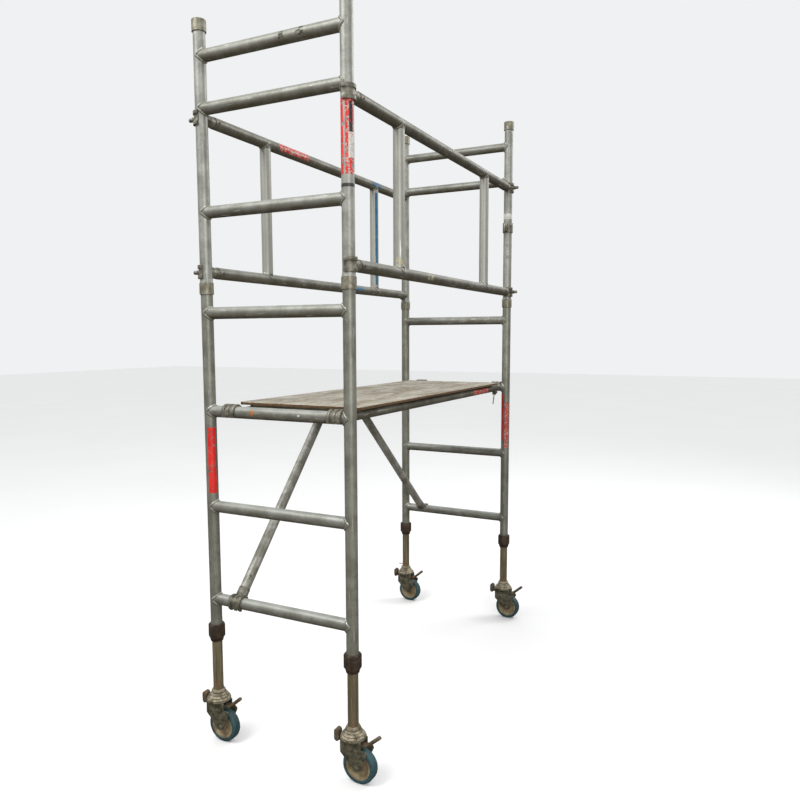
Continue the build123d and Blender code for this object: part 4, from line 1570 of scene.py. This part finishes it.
def cross_pin(palette: Palette) -> None:
    """Put the thin cross pin through the rear left leg, just above its swivel head."""
    centre = middle("rear_left_leg")
    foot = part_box("rear_left_leg")[0][2]
    place = (centre.x, centre.y + PIN_REACH / 2, foot + PIN_ABOVE_FOOT)
    bpy.ops.mesh.primitive_cylinder_add(vertices=20, radius=PIN_R, depth=PIN_REACH + TUBE_R, location=place,
                                        rotation=(math.pi / 2, 0, 0))
    piece = settle(bpy.context.active_object)
    piece.name = "rear_left_leg_cross_pin"
    bevelled(piece, 0.5 * MM)
    finish_piece(piece, palette.brake, "rear_left_leg", "pin_steel")


def strut_hole(palette: Palette) -> None:
    """Set the small dark eyelet into the front strut, a little above its claw."""
    low, high = (Vector(corner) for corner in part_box("front_strut"))
    along = Vector((high.x - low.x, STRUT_SIDEWAYS, high.z - low.z)).normalized()
    facing = (EYELET_FACING - EYELET_FACING.dot(along) * along).normalized()
    where = low + STRUT_FOOT + along * EYELET_UP + facing * EYELET_OUT
    piece = rivet_master(4.0 * MM, 0.9 * MM)
    piece.name = "front_strut_eyelet"
    piece.matrix_world = Matrix.Translation(where) @ facing.to_track_quat("Z", "Y").to_matrix().to_4x4()
    # the eyelet wears the painted shade, dark as the shade inside its hole
    finish_piece(settle(piece), palette.painted_shade, "front_strut", "frame_tube")


def rung_marks(palette: Palette) -> None:
    """Put the marks on the front rungs: a rust chip, a paint spot and two patches of painted shadow in dents.

    Args:
        palette: The shared materials.
    """
    platform_rung, top_rung = LOWER_RUNGS[2], UPPER_RUNGS[End.FRONT][-1]
    marks = (("rust_chip", platform_rung, 0.128, 0.022, 28, palette.rust_chip),
             ("paint_spot", platform_rung, -0.098, 0.009, 11, palette.label),
             # the last two marks are painted shadows of dents in the top rung
             ("left_scuff", top_rung, -0.047, 0.020, 34, palette.dent_shadow),
             ("right_scuff", top_rung, -0.131, 0.034, 40, palette.dent_shadow))
    for name, rung_z, place_y, length, half_angle, material in marks:
        strip = round_strip(f"front_rung_{name}", TUBE_R + FILM_LIFT, length, 186, half_angle)
        stand_strip(strip, (FRONT_X, place_y, rung_z), Run.ACROSS)
        finish_piece(strip, material, "tower", "rung_tube")


def painted_socket_shadows(palette: Palette, post_ys: dict[Side, float]) -> None:
    """Lay a dark ring of painted shadow in the corner under each socket collar.

    Args:
        palette: The shared materials.
        post_ys: How far left each side's posts stand.
    """
    for level in ("lower", "upper"):
        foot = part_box(f"{level}_post_sockets")[0][2]
        # painted shadow: a dark ring standing in for the shade under each collar's overhanging rim
        bpy.ops.mesh.primitive_torus_add(major_radius=TUBE_R + 0.4 * MM, minor_radius=1.3 * MM,
                                         major_segments=48, minor_segments=8)
        master = bpy.context.active_object
        places = [Matrix.Translation((x, y, foot)) for x in END_X.values() for y in post_ys.values()]
        rings = placed_copies(master, places, f"{level}_socket_joint_lines")
        bpy.data.objects.remove(master)
        finish_piece(rings, palette.painted_shade, "tower", "frame_tube")


def dress_fittings(palette: Palette) -> None:
    """Dress or soften the fittings that belong to the whole tower.

    Args:
        palette: The shared materials.
    """
    for node in ("lower_post_sockets", "upper_post_sockets"):
        dress_node(node, palette.socket)
    clamp = softened("post_band_clamp", "band_clamp", 0.7 * MM)
    finish_piece(clamp, palette.pin, "tower", "pin_steel", "post_band_clamp")
    brackets = softened("strut_brackets", "strut_bracket_castings", 1.0 * MM)
    finish_piece(brackets, palette.casting, "tower", "casting", "strut_brackets")
    dress_node("leg_clamp_rings", palette.pin)


def main() -> None:
    """Build the looks in order."""
    logging.basicConfig(level=logging.INFO, format="%(name)s: %(message)s")
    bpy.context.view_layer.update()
    palette = make_palette()
    left_low, left_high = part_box("left_guardrail_frame")
    right_low, right_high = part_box("right_guardrail_frame")
    post_ys = {Side.LEFT: (left_low[1] + left_high[1]) / 2, Side.RIGHT: (right_low[1] + right_high[1]) / 2}
    frames = {end: EndFrame(end, palette, post_ys) for end in End}
    rails = {side: Guardrail(side, palette, post_ys[side]) for side in Side}
    for part in (*frames.values(), *rails.values(), Platform(palette)):
        part.build()
    for end in End:
        Strut(end, palette).build()
        for side in Side:
            Castor(end, side, palette).build()
    dress_fittings(palette)
    cross_pin(palette)
    strut_hole(palette)
    painted_socket_shadows(palette, post_ys)
    rung_marks(palette)
    stick_films(frames, rails, palette)
    Studio().build()
    bpy.context.view_layer.update()


if __name__ == "__main__":
    main()
